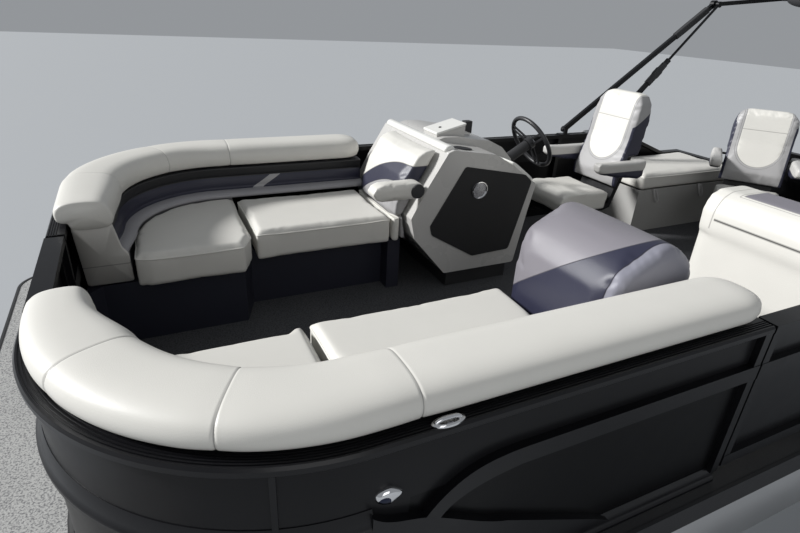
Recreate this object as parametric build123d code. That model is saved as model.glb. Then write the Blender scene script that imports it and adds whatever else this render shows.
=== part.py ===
"""A pontoon boat with three tubes, bow couches, a helm console, stern lounges and an outboard engine.

Millimetres. +X to the bow, +Y to port, +Z up. The origin is at the centre of the boat's
box, level with the keels. A station is a distance aft of the fence's front face, and a
height called up is measured from the deck's top.
"""
import os
from math import cos, pi, sin

from build123d import *

os.makedirs("parts", exist_ok=True)
PIECES = {}

# Driving dimensions of the hull
BEAM = 2590
TUBE_D = 635
KEEL = 20
RISER = 30
CROSS_H = 75
DECK_T = 20
DECK = KEEL + TUBE_D + RISER + CROSS_H + DECK_T
FENCE_X = 3170.7
BOW_DECK = 342
CABIN_END = 4690
STERN_END = 5560
NOTCH_START = 5000
NOTCH_HALF = 470
TRIM_T = 12
SKIRT = 95
CROSS_PITCH = 420

# Driving dimensions of the fence
FENCE_HALF = 1250
CORNER_R = 700
RAIL_TOP = 640
RAIL_H = 26
RAIL_W = 62
MID_LOW, MID_TOP = 385, 447
ARCH_LOW, ARCH_TOP = 445, 500
FOOT_RAIL = 60
PANEL_IN = 22
PANEL_T = 4
POST = 32
SPLIT = 2004
FORK = 705
LEAF_GAP = 10
SIDE_GATE_END = 2660
BOW_GATE = (-150, 420)
STERN_GATE = (-10, 465)
DROP_START, DROP_END, DROP_TOP = 3900, 4450, 440

# Driving dimensions of the furniture
SEAT_LOW, SEAT_TOP = 300, 440
LOUNGE_LOW = 330
COUCH_BACK_IN = 288
COUCH_FRONT = 420
BOW_SEAT_END = 785
ROLL_TOP = 733
CONSOLE_IN, CONSOLE_OUT = 350, 1150
HELM_Y = -660
CHAIR_SPOTS = {"captain": (2930, HELM_Y, 0), "co_captain": (4050, -140, 36)}
BACK_TOPS = {"captain": 1055, "co_captain": 958}
LOUNGE_IN = {"port": 500, "starboard": 640}
LOUNGE_FORE = {"port": 3022, "starboard": 3620}

# Driving dimensions of the top and the engine
ARM_Y = 1205
FOOT_A, FOOT_B = 3300, 3690
FOOT_UP = RAIL_TOP + 40
KNUCKLE = (4600, 1600)
BOW_END = (5400, 1680)
TILT_UP = 62

UP_FROM = (Align.CENTER, Align.CENTER, Align.MIN)


def X(station):
    """The X of a station aft of the fence's front face."""
    return FENCE_X - station


def Z(up):
    """The Z of a height above the deck."""
    return DECK + up


def side_view(points):
    """Station and height pairs as X and Z pairs."""
    return [(X(station), Z(up)) for station, up in points]


def block(x, y, z):
    """A box between two values on each axis."""
    size = [abs(pair[1] - pair[0]) for pair in (x, y, z)]
    middle = [(pair[0] + pair[1]) / 2 for pair in (x, y, z)]
    return Pos(*middle) * Box(*size)


def slab_xz(points, y0, y1, rounds=0):
    """An outline in side view, as thick as y0 to y1, with its corners rounded."""
    face = Plane.XZ.offset(-min(y0, y1)) * make_face(Polyline(*points, close=True))
    solid = extrude(face, amount=-abs(y1 - y0))
    return fillet(solid.edges().filter_by(Axis.Y), rounds) if rounds else solid


def slab_yz(points, x0, x1):
    """An outline seen from ahead, as long as x0 to x1."""
    face = Plane.YZ.offset(min(x0, x1)) * make_face(Polyline(*points, close=True))
    return extrude(face, amount=abs(x1 - x0))


def rod(start, end, radius):
    """A round bar from one point to another."""
    start, end = Vector(*start), Vector(*end)
    return Plane(origin=start, z_dir=end - start) * Cylinder(radius, (end - start).length, align=UP_FROM)


def bar(start, end, deep, wide):
    """A square bar from one point to another, level across or in a plane of constant Y."""
    start, end = Vector(*start), Vector(*end)
    side = (0, 1, 0) if abs(end.Y - start.Y) < 1 else (1, 0, 0)
    along = Plane(origin=(start + end) / 2, x_dir=side, z_dir=end - start)
    return along * Box(wide, deep, (end - start).length)


def joined(pieces):
    """One shape from several, fused where they touch."""
    whole = pieces[0]
    for piece in pieces[1:]:
        whole = whole + piece
    return whole


def starboard(solid):
    """The starboard twin of a port solid."""
    return mirror(solid, about=Plane.XZ)


def to_side(solid, side):
    """A port solid, or its starboard twin."""
    return solid if side == "port" else starboard(solid)


# The hull: three tubes, channels across them, the deck with its edge trim, and the engine's pod


def tube(y, aft, nose):
    """A pontoon tube: a long cylinder, a nose cone that rises to the bow, a keel and a riser."""
    r = TUBE_D / 2
    axis_z = KEEL + r
    shoulder = nose + 720
    body = Pos(X(aft), y, axis_z) * Rot(0, 90, 0) * Cylinder(r, aft - shoulder, align=UP_FROM)
    # each ring: run ahead of the shoulder, radius and rise, as shares of the tube's radius
    rings = ((0, 1, 0), (380, 0.78, 0.20), (620, 0.42, 0.52), (700, 0.14, 0.78))
    cone = loft([Plane.YZ.offset(X(shoulder) + run) * Pos(y, axis_z + rise * r) * Circle(size * r)
                 for run, size, rise in rings])
    keel = block((X(aft), X(shoulder)), (y - 16, y + 16), (0, KEEL + 6))
    riser = block((X(aft), X(shoulder) + 60), (y - 60, y + 60), (axis_z + 0.97 * r, DECK - DECK_T - CROSS_H))
    return body + cone + keel + riser


TUBE_Y = (BEAM - TUBE_D) / 2 - 15
PIECES["pontoon_tubes"] = Compound(children=[
    tube(TUBE_Y, STERN_END - 20, -280), tube(0, 4900, -300), tube(-TUBE_Y, STERN_END - 20, -280)])


def cross_members():
    """Channels under the deck, split where the stern is notched."""
    low, top = DECK - DECK_T - CROSS_H, DECK - DECK_T
    half = BEAM / 2 - TRIM_T - 3
    channel = [(0, low), (40, low), (40, low + 5), (5, low + 5),
               (5, top - 5), (40, top - 5), (40, top), (0, top)]
    beams = []
    for number in range(14):
        x = X(CROSS_PITCH * number - 160)
        beam = slab_xz([(x + dx, z) for dx, z in channel], -half, half)
        if x < X(NOTCH_START):
            beam -= block((x - 10, x + 60), (-NOTCH_HALF - 20, NOTCH_HALF + 20), (low - 5, top + 5))
        beams += beam.solids()
    return Compound(children=beams)


PIECES["cross_members"] = cross_members()


def deck_outline(grow=0):
    """The deck in plan, with round bow corners and a notch at the stern for the engine."""
    half = BEAM / 2 - TRIM_T + grow
    front, back = X(-BOW_DECK + TRIM_T) + grow, X(STERN_END - TRIM_T) - grow
    whole = Pos((front + back) / 2, 0) * Rectangle(front - back, 2 * half)
    whole = fillet(whole.vertices().sort_by(Axis.X)[-2:], 150 + grow)
    whole = fillet(whole.vertices().group_by(Axis.X)[0], 60 + grow)
    notch_front = X(NOTCH_START) - grow
    notch = Rectangle(notch_front - back + 100, 2 * (NOTCH_HALF - grow))
    return whole - Pos((notch_front + back) / 2 - 50, 0) * notch


PIECES["deck"] = Pos(0, 0, DECK - DECK_T) * extrude(deck_outline(), DECK_T)


def edge_trim():
    """The trim round the deck's edge, cut into lengths at its corners."""
    ring = Pos(0, 0, DECK - SKIRT) * extrude(deck_outline(TRIM_T) - deck_outline(0.2), SKIRT + 3)
    # each joint: its station, and the least and most distance to the side that it cuts
    joints = ((-190, 1000, 1400), (NOTCH_START + 14, 0, 600), (STERN_END - 80, 0, 1400))
    saw, deep = 0.3, (DECK - 200, DECK + 50)
    for station, near, far in joints:
        for sign in (-1, 1):
            ring -= block((X(station) - saw, X(station) + saw), (sign * near, sign * far), deep)
    for x0, x1 in ((0, 4000), (-4000, 0)):
        for y in (-1130, 1130):
            ring -= block((x0, x1), (y - saw, y + saw), deep)
    return Compound(children=ring.solids())


PIECES["deck_edge_trim"] = edge_trim()


def motor_pod():
    """The welded pod that carries the engine: a box behind the centre tube with a raised transom."""
    floor, lid, crown = 150, 640, 700
    front, back = X(4900), X(STERN_END)
    shape = [(front, lid + 45), (front, 320), (front - 260, floor), (back + 30, floor), (back, floor + 40),
             (back, crown), (back + 60, crown), (back + 60, lid), (front - 120, lid)]
    shelf = block((front - 90, front), (-300, 300), (lid + 20, DECK - DECK_T - CROSS_H))
    return slab_xz(shape, -300, 300) + shelf


PIECES["motor_pod"] = motor_pod()

# The fence: black rails and posts, with sheets between them and a mid rail that forks into an arch


def top_rail_profile():
    """The top rail's section as (inset, up): a round outer edge and four grooves in its flat top."""
    low = RAIL_TOP - RAIL_H
    section = [(RAIL_W, low), (4, low), (0, low + 5), (0, RAIL_TOP - 7), (5, RAIL_TOP)]
    for inset in (10, 18, 26, 34):
        section += [(inset, RAIL_TOP), (inset + 1, RAIL_TOP - 3),
                    (inset + 4, RAIL_TOP - 3), (inset + 5, RAIL_TOP)]
    return section + [(RAIL_W, RAIL_TOP)]


def rail_profile(top, height, width=RAIL_W):
    """A lower rail's section as (inset, up): a bead along the foot and a face that leans in above it."""
    low = top - height
    return [(width, low), (3, low), (0, low + 4), (0, low + 15), (4, low + 19), (9, low + 0.5 * height),
            (9, low + 0.6 * height), (20, top), (width, top)]


def sheet_profile(low, high):
    """The section of a sheet between two heights, as (inset, up)."""
    return [(PANEL_IN, low), (PANEL_IN + PANEL_T, low), (PANEL_IN + PANEL_T, high), (PANEL_IN, high)]


TOP_RAIL = top_rail_profile()
MID_RAIL = rail_profile(MID_TOP, MID_TOP - MID_LOW)
LOW_RAIL = rail_profile(FOOT_RAIL, FOOT_RAIL)
ARCH_RAIL = rail_profile(ARCH_TOP, ARCH_TOP - ARCH_LOW, 30)


def round_bow(profile, aft, y_end):
    """A section of (inset, up) run from a station along the port side, round the bow corner
    and across the front to y_end."""
    corner_x, corner_y = X(CORNER_R), FENCE_HALF - CORNER_R
    run = [(FENCE_HALF - inset, Z(up)) for inset, up in profile]
    along = slab_yz(run, X(aft), corner_x)
    section = Plane.YZ.offset(corner_x) * make_face(Polyline(*run, close=True))
    bend = revolve(section, Axis((corner_x, corner_y, 0), (0, 0, 1)), -90)
    across = slab_xz([(X(inset), Z(up)) for inset, up in profile], y_end, corner_y)
    return along + bend + across


def side_run(profile, fore, aft):
    """A section of (inset, up) run straight along the port side between two stations."""
    return slab_yz([(FENCE_HALF - inset, Z(up)) for inset, up in profile], X(aft), X(fore))


def rail_height(station):
    """The top rail's height, which drops beside the stern lounges."""
    share = (station - DROP_START) / (DROP_END - DROP_START)
    return RAIL_TOP - (RAIL_TOP - DROP_TOP) * min(max(share, 0), 1)


def side_post(station):
    """A square post behind the sheet, from the foot rail to the top rail."""
    outer = FENCE_HALF - PANEL_IN - PANEL_T
    return block((X(station) - POST / 2, X(station) + POST / 2), (outer - POST, outer),
                 (Z(FOOT_RAIL - 8), Z(rail_height(station) - 20)))


def front_post(y):
    """A square post beside the bow gate, from y towards port."""
    outer = X(PANEL_IN + PANEL_T)
    return block((outer - POST, outer), (y, y + POST), (Z(FOOT_RAIL - 8), Z(RAIL_TOP - 20)))


def swoosh(aft):
    """The mid rail's fork: an arch that runs level aft, and a bar that sweeps down to the foot rail."""
    y0, y1 = FENCE_HALF - 30, FENCE_HALF
    arch = make_face(
        Spline(*side_view([(830, 372), (894, 441), (953, 476), (1016, 493), (1104, ARCH_TOP)]))
        + Polyline(*side_view([(1104, ARCH_TOP), (aft, ARCH_TOP), (aft, ARCH_LOW), (1100, ARCH_LOW)]))
        + Spline(*side_view([(1100, ARCH_LOW), (1010, 432), (947, 413), (888, 376), (863, 330)]))
        + Line(*side_view([(863, 330), (830, 372)])))
    bar = make_face(
        Spline(*side_view([(FORK - 5, MID_TOP - 8), (762, 402), (825, 384), (873, 362), (1086, 250)]))
        + Polyline(*side_view([(1086, 250), (1432, 88), (1500, 50), (1390, 50), (1086, 195)]))
        + Spline(*side_view([(1086, 195), (873, 300), (800, 340), (FORK - 5, MID_LOW)]))
        + Line(*side_view([(FORK - 5, MID_LOW), (FORK - 5, MID_TOP - 8)])))
    face = Plane.XZ.offset(-y0)
    return extrude(face * arch, amount=-(y1 - y0)) + extrude(face * bar, amount=-(y1 - y0))


def dropped_rail():
    """The top rail's sloping and low stretch beside the stern lounge."""
    line = [(DROP_START, RAIL_TOP), (DROP_END, DROP_TOP), (CABIN_END, DROP_TOP)]
    under = [(station, up - RAIL_H) for station, up in reversed(line)]
    return slab_xz(side_view(line + under), FENCE_HALF - RAIL_W, FENCE_HALF)


def end_post(station):
    """A post as deep as the rails, flush with their outer face, beside the side gate."""
    return block((X(station) - POST / 2, X(station) + POST / 2), (FENCE_HALF - RAIL_W + 2, FENCE_HALF - 1.5),
                 (Z(FOOT_RAIL - 8), Z(RAIL_TOP - 20)))


def corner_post(turn, depth=POST, width=POST, stand=0):
    """A post behind the sheet of the round bow corner, turned from the bow's side of the corner."""
    outer = CORNER_R - PANEL_IN - PANEL_T + stand
    upright = block((outer - depth, outer), (-width / 2, width / 2), (Z(FOOT_RAIL - 8), Z(RAIL_TOP - 20)))
    return Pos(X(CORNER_R), FENCE_HALF - CORNER_R) * Rot(0, 0, turn) * upright


def bow_section(aft, gate_edge):
    """Rails and posts from the bow gate round the corner to a station, drawn on the port side."""
    pieces = [round_bow(TOP_RAIL, min(aft, DROP_START), gate_edge), round_bow(LOW_RAIL, aft, gate_edge),
              round_bow(MID_RAIL, FORK, gate_edge), swoosh(min(aft, SPLIT)), front_post(gate_edge)]
    pieces += [side_post(station) for station in (830, 1400)]
    pieces += [corner_post(22), corner_post(72.8)]
    pieces.append(corner_post(72.8, 10, 14, PANEL_T + 6))
    return joined(pieces)


def aft_section(fore):
    """Rails and posts from a station to the stern, drawn on the port side."""
    pieces = [side_run(TOP_RAIL, fore, DROP_START), side_run(LOW_RAIL, fore, CABIN_END),
              side_run(ARCH_RAIL, fore, DROP_START + 130), dropped_rail()]
    pieces += [side_post(station) for station in (3270, DROP_START, DROP_END, CABIN_END - POST / 2)]
    return joined(pieces)


HINGE_R = 9
PIN_R = 5
PIN_PLAY = 0.08
GATE_PLACES = {
    "side": Pos(X(SIDE_GATE_END), FENCE_HALF - RAIL_W, Z(0)),
    "bow": Pos(X(RAIL_W), BOW_GATE[1], Z(0)) * Rot(0, 0, -90),
    "stern": Pos(X(CABIN_END - RAIL_W), STERN_GATE[1], Z(0)) * Rot(0, 0, -90),
}
GATE_WIDTHS = {"side": SIDE_GATE_END - SPLIT - LEAF_GAP, "bow": BOW_GATE[1] - BOW_GATE[0] - LEAF_GAP,
               "stern": STERN_GATE[1] - STERN_GATE[0] - LEAF_GAP}


def gate_eyes(name):
    """The two fixed eyes round a gate's pin, with their straps to the post beside it."""
    outward = -1 if name == "stern" else 1
    pin_y = -(HINGE_R + 1) * outward
    eyes = []
    for z in (230, 380):
        eye = Pos(0, pin_y, z) * Cylinder(HINGE_R, 28, align=UP_FROM)
        strap = block((-30, 0), (pin_y - 5 * outward, 6 * outward), (z, z + 28))
        bore = Pos(0, pin_y, z - 5) * Cylinder(PIN_R + PIN_PLAY, 40, align=UP_FROM)
        eyes.append(GATE_PLACES[name] * (eye + strap - bore))
    return eyes


def gate(name):
    """A gate: a welded frame with its sheet, two hinge tongues and the pin they turn on. The pin
    stands at the leaf's inner corner, so the leaf swings inboard."""
    width = GATE_WIDTHS[name]
    low, high = 70, RAIL_TOP - RAIL_H
    outward = -1 if name == "stern" else 1
    face = (0, RAIL_W * outward)
    pieces = [block((LEAF_GAP, width), face, span) for span in ((high, RAIL_TOP), (low, low + 45))]
    for x in (LEAF_GAP, width - POST):
        pieces.append(block((x, x + POST), (20 * outward, (RAIL_W - 1.5) * outward), (low + 40, high + 5)))
    sheet = ((RAIL_W - PANEL_IN - PANEL_T) * outward, (RAIL_W - PANEL_IN) * outward)
    pieces.append(block((LEAF_GAP, width), sheet, (low + 40, high + 5)))
    rail = {"side": (ARCH_LOW, ARCH_TOP), "bow": (MID_LOW, MID_TOP)}.get(name)
    if rail:
        pieces.append(block((LEAF_GAP, width), ((RAIL_W - 30) * outward, RAIL_W * outward), rail))
    pin_y = -(HINGE_R + 1) * outward
    for z in (160, 440):
        knuckle = Pos(0, pin_y, z) * Cylinder(HINGE_R, 30, align=UP_FROM)
        tongue = block((0, LEAF_GAP + 16), (pin_y - 2 * outward, 24 * outward), (z, z + 30))
        clear = block((-40, LEAF_GAP), (0, 40 * outward), (z - 1, z + 31))
        pieces.append(knuckle + tongue - clear)
    pieces.append(Pos(0, pin_y, 150) * Cylinder(PIN_R, 330, align=UP_FROM))
    return GATE_PLACES[name] * joined(pieces)


for name in GATE_PLACES:
    PIECES[f"{name}_gate"] = gate(name)


def stern_section():
    """The cross fence at the stern, on both sides of the gate: high beside it and low at the sides."""
    x0, x1 = X(CABIN_END), X(CABIN_END) + RAIL_W
    skin_x = (x0 + PANEL_IN - PANEL_T, x0 + PANEL_IN)
    starboard_step, port_step = -LOUNGE_IN["starboard"] + 60, 540
    gate_low, gate_high = STERN_GATE[0] - LEAF_GAP, STERN_GATE[1] + LEAF_GAP
    side = FENCE_HALF - RAIL_W
    frames = [block((x0, x1), span, (Z(0), Z(FOOT_RAIL))) for span in ((-side, gate_low), (gate_high, side))]
    skins = []
    # each stretch: its least and most Y, and its rail's top
    stretches = ((starboard_step, gate_low, RAIL_TOP), (gate_high, port_step, RAIL_TOP),
                 (-side, starboard_step, DROP_TOP), (port_step, side, DROP_TOP))
    for y0, y1, top in stretches:
        frames.append(block((x0, x1), (y0, y1), (Z(top - RAIL_H), Z(top))))
        skins.append(block(skin_x, (y0, y1), (Z(FOOT_RAIL), Z(top - RAIL_H))))
        if top == RAIL_TOP:
            frames += [block((x0 + 26, x0 + 26 + POST), (y, y + POST), (Z(0), Z(top - RAIL_H + 5)))
                       for y in (y0, y1 - POST)]
    return frames, skins


stern_frames, stern_skins = stern_section()
starboard_frame = bow_section(CABIN_END, -BOW_GATE[0] + LEAF_GAP) + aft_section(SPLIT)
starboard_frame += joined([side_post(station) for station in (SPLIT, 2640)])
port_bow_frame = bow_section(SPLIT, BOW_GATE[1] + LEAF_GAP)
port_bow_frame += end_post(SPLIT - POST / 2)
port_bow_frame = joined([port_bow_frame, *gate_eyes("bow")])
port_aft_frame = aft_section(SIDE_GATE_END) + end_post(SIDE_GATE_END + POST / 2)
port_aft_frame = joined([port_aft_frame, *gate_eyes("side")])
PIECES["fence_frame_port_bow"] = port_bow_frame
PIECES["fence_frame_port_aft"] = port_aft_frame
PIECES["fence_frame_starboard"] = starboard(starboard_frame)
PIECES["fence_frame_stern"] = joined(stern_frames + gate_eyes("stern"))


def side_sheet(fore, aft):
    """One straight sheet on the port side between two stations, up to the top rail's underside."""
    stations = [fore] + [s for s in (DROP_START, DROP_END) if fore < s < aft] + [aft]
    top = [(station, rail_height(station) - RAIL_H + 5) for station in stations]
    outline = side_view([(fore, FOOT_RAIL)] + top + [(aft, FOOT_RAIL)])
    return slab_xz(outline, FENCE_HALF - PANEL_IN - PANEL_T, FENCE_HALF - PANEL_IN)


def fence_panels():
    """All the sheets of the fence, cut clear of the rails."""
    bow_skin = sheet_profile(FOOT_RAIL, RAIL_TOP - RAIL_H)
    port = round_bow(bow_skin, FORK, BOW_GATE[1] + LEAF_GAP) + side_sheet(FORK, SPLIT) - port_bow_frame
    port_aft = side_sheet(SIDE_GATE_END, CABIN_END) - port_aft_frame
    far = round_bow(bow_skin, FORK, -BOW_GATE[0] + LEAF_GAP) + side_sheet(FORK, CABIN_END) - starboard_frame
    stern = joined(stern_skins) - PIECES["fence_frame_stern"]
    return port, port_aft, starboard(far), stern


port, port_aft, far, stern = fence_panels()
PIECES["fence_panels_port"] = Compound(children=port.solids() + port_aft.solids())
PIECES["fence_panels_starboard"] = far
PIECES["fence_panels_stern"] = stern

# The couches: hollow bases, a fixed bow cushion, hinged seats and a fat back that rides on the rail

INNER = FENCE_HALF - RAIL_W - 4
BACK_PROFILE = [(36, 650), (26, 664), (24, 690), (36, 716), (75, 731), (140, ROLL_TOP), (205, 728),
                (243, 703), (258, 660), (250, 618), (232, 604), (226, 560), (234, 522), (266, 508),
                (286, 488), (292, 462), (290, SEAT_TOP + 6), (70, SEAT_TOP + 6), (70, 650)]
FOOT_IN = 250
BACK_FOOT = [(FOOT_IN, SEAT_TOP + 6), (FOOT_IN, SEAT_LOW + 4), (70, SEAT_LOW + 4), (70, SEAT_TOP + 6)]
COUCH_END = {"port": 1610, "starboard": 1512}
COUCH_BACK_END = {"port": 2040, "starboard": 1560}
COUCH_BACK_Y = {"port": 470, "starboard": 240}
BACK_LEAN = {"port": 60, "starboard": 150}
COUCH_BOW_Y = {"port": 470, "starboard": 320}
BOW_SEAT_Y = {"port": 450, "starboard": 300}
PORT_REST = (1625, 2026)
REST_IN_Y, REST_END_Y = 450, 950


def couch_back(side):
    """A couch's back: the fat roll and the lumbar part under it, wrapped round the bow corner. Beside
    the fixed bow cushion it goes down to the base, and its bow end leans back below the roll."""
    end_y = COUCH_BACK_Y[side]
    solid = round_bow(BACK_PROFILE, COUCH_BACK_END[side], end_y)
    solid += round_bow(BACK_FOOT, BOW_SEAT_END, end_y)
    leaning_end = [(end_y, Z(650)), (end_y + BACK_LEAN[side], Z(SEAT_LOW)),
                   (end_y - 9, Z(SEAT_LOW)), (end_y - 9, Z(650))]
    solid -= slab_yz(leaning_end, X(900), X(0))
    solid -= block((X(2100), X(SPLIT - 10)), (0, FENCE_HALF), (Z(300), Z(649)))
    return to_side(solid, side)


def couch_plan(side, inset, bow_y, front_y, bow_edge_y):
    """A couch in plan: straight along the fence, round the bow corner, and deeper at the bow."""
    r = CORNER_R - inset
    back_y, front_x, aft = FENCE_HALF - inset, X(inset), X(COUCH_END[side])
    middle = (X(CORNER_R) + r * cos(pi / 4), FENCE_HALF - CORNER_R + r * sin(pi / 4))
    return make_face(
        Polyline((aft, back_y), (X(CORNER_R), back_y))
        + ThreePointArc((X(CORNER_R), back_y), middle, (front_x, FENCE_HALF - CORNER_R))
        + Polyline((front_x, FENCE_HALF - CORNER_R), (front_x, bow_y), (front_x - 60, bow_edge_y),
                   (X(BOW_SEAT_END - 60), bow_edge_y), (X(BOW_SEAT_END), front_y),
                   (aft, front_y), (aft, back_y)))


def couch_base(side):
    """A couch's moulded base with a storage hollow under the hinged seat."""
    plan = couch_plan(side, RAIL_W + 4, COUCH_BOW_Y[side], 560, BOW_SEAT_Y[side] + 90)
    solid = Pos(0, 0, Z(0)) * extrude(plan, SEAT_LOW - 2)
    hollow = block((X(COUCH_END[side]) + 15, X(BOW_SEAT_END) - 20), (575, INNER - 130),
                   (Z(12), Z(SEAT_LOW)))
    return to_side(solid - hollow, side)


def couch_seat(side):
    """A couch's two seat cushions: the fixed one round the bow corner, and the hinged one."""
    fore = block((X(BOW_SEAT_END), 9000), (-2000, 2000), (0, 3000))
    aft = block((-9000, X(BOW_SEAT_END) - 6), (-2000, 2000), (0, 3000))
    pads = []
    for inset, share in ((FOOT_IN + 12, fore), (COUCH_BACK_IN + 12, aft)):
        plan = couch_plan(side, inset, COUCH_BOW_Y[side], COUCH_FRONT, BOW_SEAT_Y[side])
        pad = Pos(0, 0, Z(SEAT_LOW)) * extrude(plan, SEAT_TOP - SEAT_LOW)
        pads.append(to_side(pad & share, side))
    return pads


def base_end(side, aft):
    """The base's solid end under a couch's fixed aft cushion or backrest."""
    return to_side(block((X(aft), X(COUCH_END[side])), (470, INNER), (Z(0), Z(SEAT_LOW - 2))), side)


PIECES["couch_bases"] = Compound(children=[
    couch_base("port") + base_end("port", PORT_REST[1] - 22),
    couch_base("starboard") + base_end("starboard", 1585)])
bow_pads = []
for side in ("port", "starboard"):
    bow_pad, lid = couch_seat(side)
    bow_pads.append(bow_pad)
    PIECES[f"seat_cushion_{side}"] = lid
    PIECES[f"couch_back_{side}"] = couch_back(side)
bow_pads.append(block((X(COUCH_BACK_END["starboard"]), X(COUCH_END["starboard"] + 6)),
                      (-REST_END_Y, -COUCH_FRONT), (Z(SEAT_LOW), Z(SEAT_TOP))))
PIECES["bow_cushions"] = Compound(children=bow_pads)

PIECES["backrest_port"] = slab_xz(
    side_view([(PORT_REST[0], SEAT_LOW), (1625, 560), (1640, 660), (1667, 719), (1744, 762), (1831, 803),
               (1870, 806), (1950, 768), (2004, 720), (PORT_REST[1], 670), (2022, 560), (2012, SEAT_LOW)]),
    REST_IN_Y, REST_END_Y, 12)

# The helm console

CONSOLE_PROFILE = [(1815, 100), (1612, 335), (1585, 452), (1677, 624), (1780, 792), (1812, 803),
                   (2074, 766), (2189, 704), (2300, 628), (2378, 580), (2345, 420), (2292, 100)]
CONSOLE_HOLLOW = [(1850, 112), (1640, 340), (1612, 452), (1702, 612), (1800, 765), (1825, 775),
                  (2068, 740), (2175, 680), (2285, 602), (2348, 565), (2318, 420), (2266, 112)]
COWL_PROFILE = [(1825, 785), (1836, 812), (1870, 822), (1960, 820), (2080, 800), (2170, 790), (2262, 747),
                (2336, 675), (2352, 640), (2340, 590), (2100, 735), (1850, 770)]
INSET = [(1890, 713), (2290, 640), (2340, 598), (2240, 195), (1990, 185), (1715, 345), (1700, 398)]
COWL_Y = (-1060, -560)
BOX_X = (1845, 2025)
BOX_Y = (-757, -605)
BOX_TOP = (826, 871)
LID_T = 13


def console_shell():
    """The helm console: a moulded shell, the cowl and dash box on it, and a leg space open aft."""
    outer = slab_xz(side_view(CONSOLE_PROFILE), -CONSOLE_OUT, -CONSOLE_IN, 18)
    cowl = slab_xz(side_view(COWL_PROFILE), *COWL_Y)
    box_side = [(BOX_X[0], 790), (BOX_X[0], BOX_TOP[0]), (BOX_X[1], BOX_TOP[1]), (BOX_X[1], 790)]
    dash_box = slab_xz(side_view(box_side), *BOX_Y)
    hollow = slab_xz(side_view(CONSOLE_HOLLOW), -CONSOLE_OUT + 25, -CONSOLE_IN - 25)
    bin_space = block((X(BOX_X[1]) + 8, X(BOX_X[0]) - 8), (BOX_Y[0] + 8, BOX_Y[1] - 8), (Z(795), Z(900)))
    door = block((X(2500), X(2200)), (-CONSOLE_OUT + 120, -CONSOLE_IN - 90), (Z(112), Z(560)))
    return outer - hollow + cowl + dash_box - bin_space - door


def dash_box_lid():
    """The dash box's sloping lid, just above the box's rim."""
    rise = (BOX_TOP[1] - BOX_TOP[0]) / (BOX_X[1] - BOX_X[0])
    low = [(station, BOX_TOP[0] + 1 + rise * (station - BOX_X[0]))
           for station in (BOX_X[0] - 4, BOX_X[1] + 4)]
    top = [(station, up + LID_T) for station, up in reversed(low)]
    return slab_xz(side_view(low + top), BOX_Y[0] - 4, BOX_Y[1] + 4)


PIECES["console_shell"] = console_shell()
PIECES["console_kick_plate"] = block((X(2262), X(1850)), (-CONSOLE_OUT + 30, -CONSOLE_IN - 30),
                                     (Z(0), Z(99)))
PIECES["console_side_panel"] = slab_xz(side_view(INSET), -CONSOLE_IN, -CONSOLE_IN + 5, 22)
PIECES["dash_box_lid"] = dash_box_lid()
ARMREST_PIN = (1598, 613)
ARMREST_Y = (-412, -322)
REST_SHAPE = [(1566, SEAT_LOW + 4), (1566, 446), (1520, 446), (1526, 520), (1574, 655), (1650, 762),
              (1695, 788), (1740, 796), (1766, 786), (1668, 624), (1577, 450), (1602, SEAT_LOW + 4)]
PIECES["backrest_starboard"] = slab_xz(side_view(REST_SHAPE), -REST_END_Y, -COUCH_FRONT)
PIECES["backrest_starboard"] += rod((X(ARMREST_PIN[0]), -COUCH_FRONT - 40, Z(ARMREST_PIN[1])),
                                    (X(ARMREST_PIN[0]), ARMREST_Y[1] - 10, Z(ARMREST_PIN[1])), 8)


def couch_armrest():
    """The fold-up armrest beside the starboard backrest: a round-ended bolster on a pin."""
    station, up = ARMREST_PIN
    bolster = slab_xz(side_view([(station, up - 45), (1400, up - 45), (1368, up - 30), (1350, up),
                                 (1368, up + 30), (1400, up + 45), (station, up + 45)]), *ARMREST_Y)
    boss = rod((X(station), ARMREST_Y[0], Z(up)), (X(station), ARMREST_Y[1], Z(up)), 45)
    bore = rod((X(station), ARMREST_Y[0] - 10, Z(up)), (X(station), ARMREST_Y[1] - 5, Z(up)), 8 + PIN_PLAY)
    return bolster + boss - bore


PIECES["couch_armrest"] = couch_armrest()

WHEEL_R = 165
WHEEL_PLACE = Pos(X(2552), HELM_Y, Z(742)) * Rot(0, -60, 0)


def steering_wheel():
    """The wheel in its own plane: rim, hub and three spokes of two bars each."""
    rim = Torus(WHEEL_R, 13)
    hub = Pos(0, 0, -18) * Cylinder(38, 34)
    spokes = [Rot(0, 0, turn) * Pos(92, y, -8) * Box(138, 12, 8)
              for turn in (60, 180, 300) for y in (-16, 16)]
    return WHEEL_PLACE * joined([rim, hub, *spokes])


PIECES["steering_wheel"] = steering_wheel()
column = WHEEL_PLACE * Pos(0, 0, -270) * Cylinder(32, 232, align=UP_FROM) - PIECES["console_shell"]
throttle = block((X(2300), X(2250)), (-1000, -955), (Z(700), Z(820))) - PIECES["console_shell"]
PIECES["helm_controls"] = Compound(children=[
    max(control.solids(), key=lambda part: part.volume) for control in (column, throttle)])

# The helm chairs: a fixed pedestal, and a turning frame with cushions and two folding armrests

ARM_PIN = (-335, 615)


def chair_frame():
    """A chair's frame about its own post: the seat plate, the back plate and the armrest pins."""
    back_plate = slab_xz([(-190, 282), (-250, 300), (-335, 560), (-352, 640),
                          (-318, 640), (-225, 330), (-185, 309)], -150, 150)
    plate = block((-190, 190), (-150, 150), (282, 309))
    pins = rod((ARM_PIN[0], -262, ARM_PIN[1]), (ARM_PIN[0], 262, ARM_PIN[1]), 8)
    return plate + back_plate + pins


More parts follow.
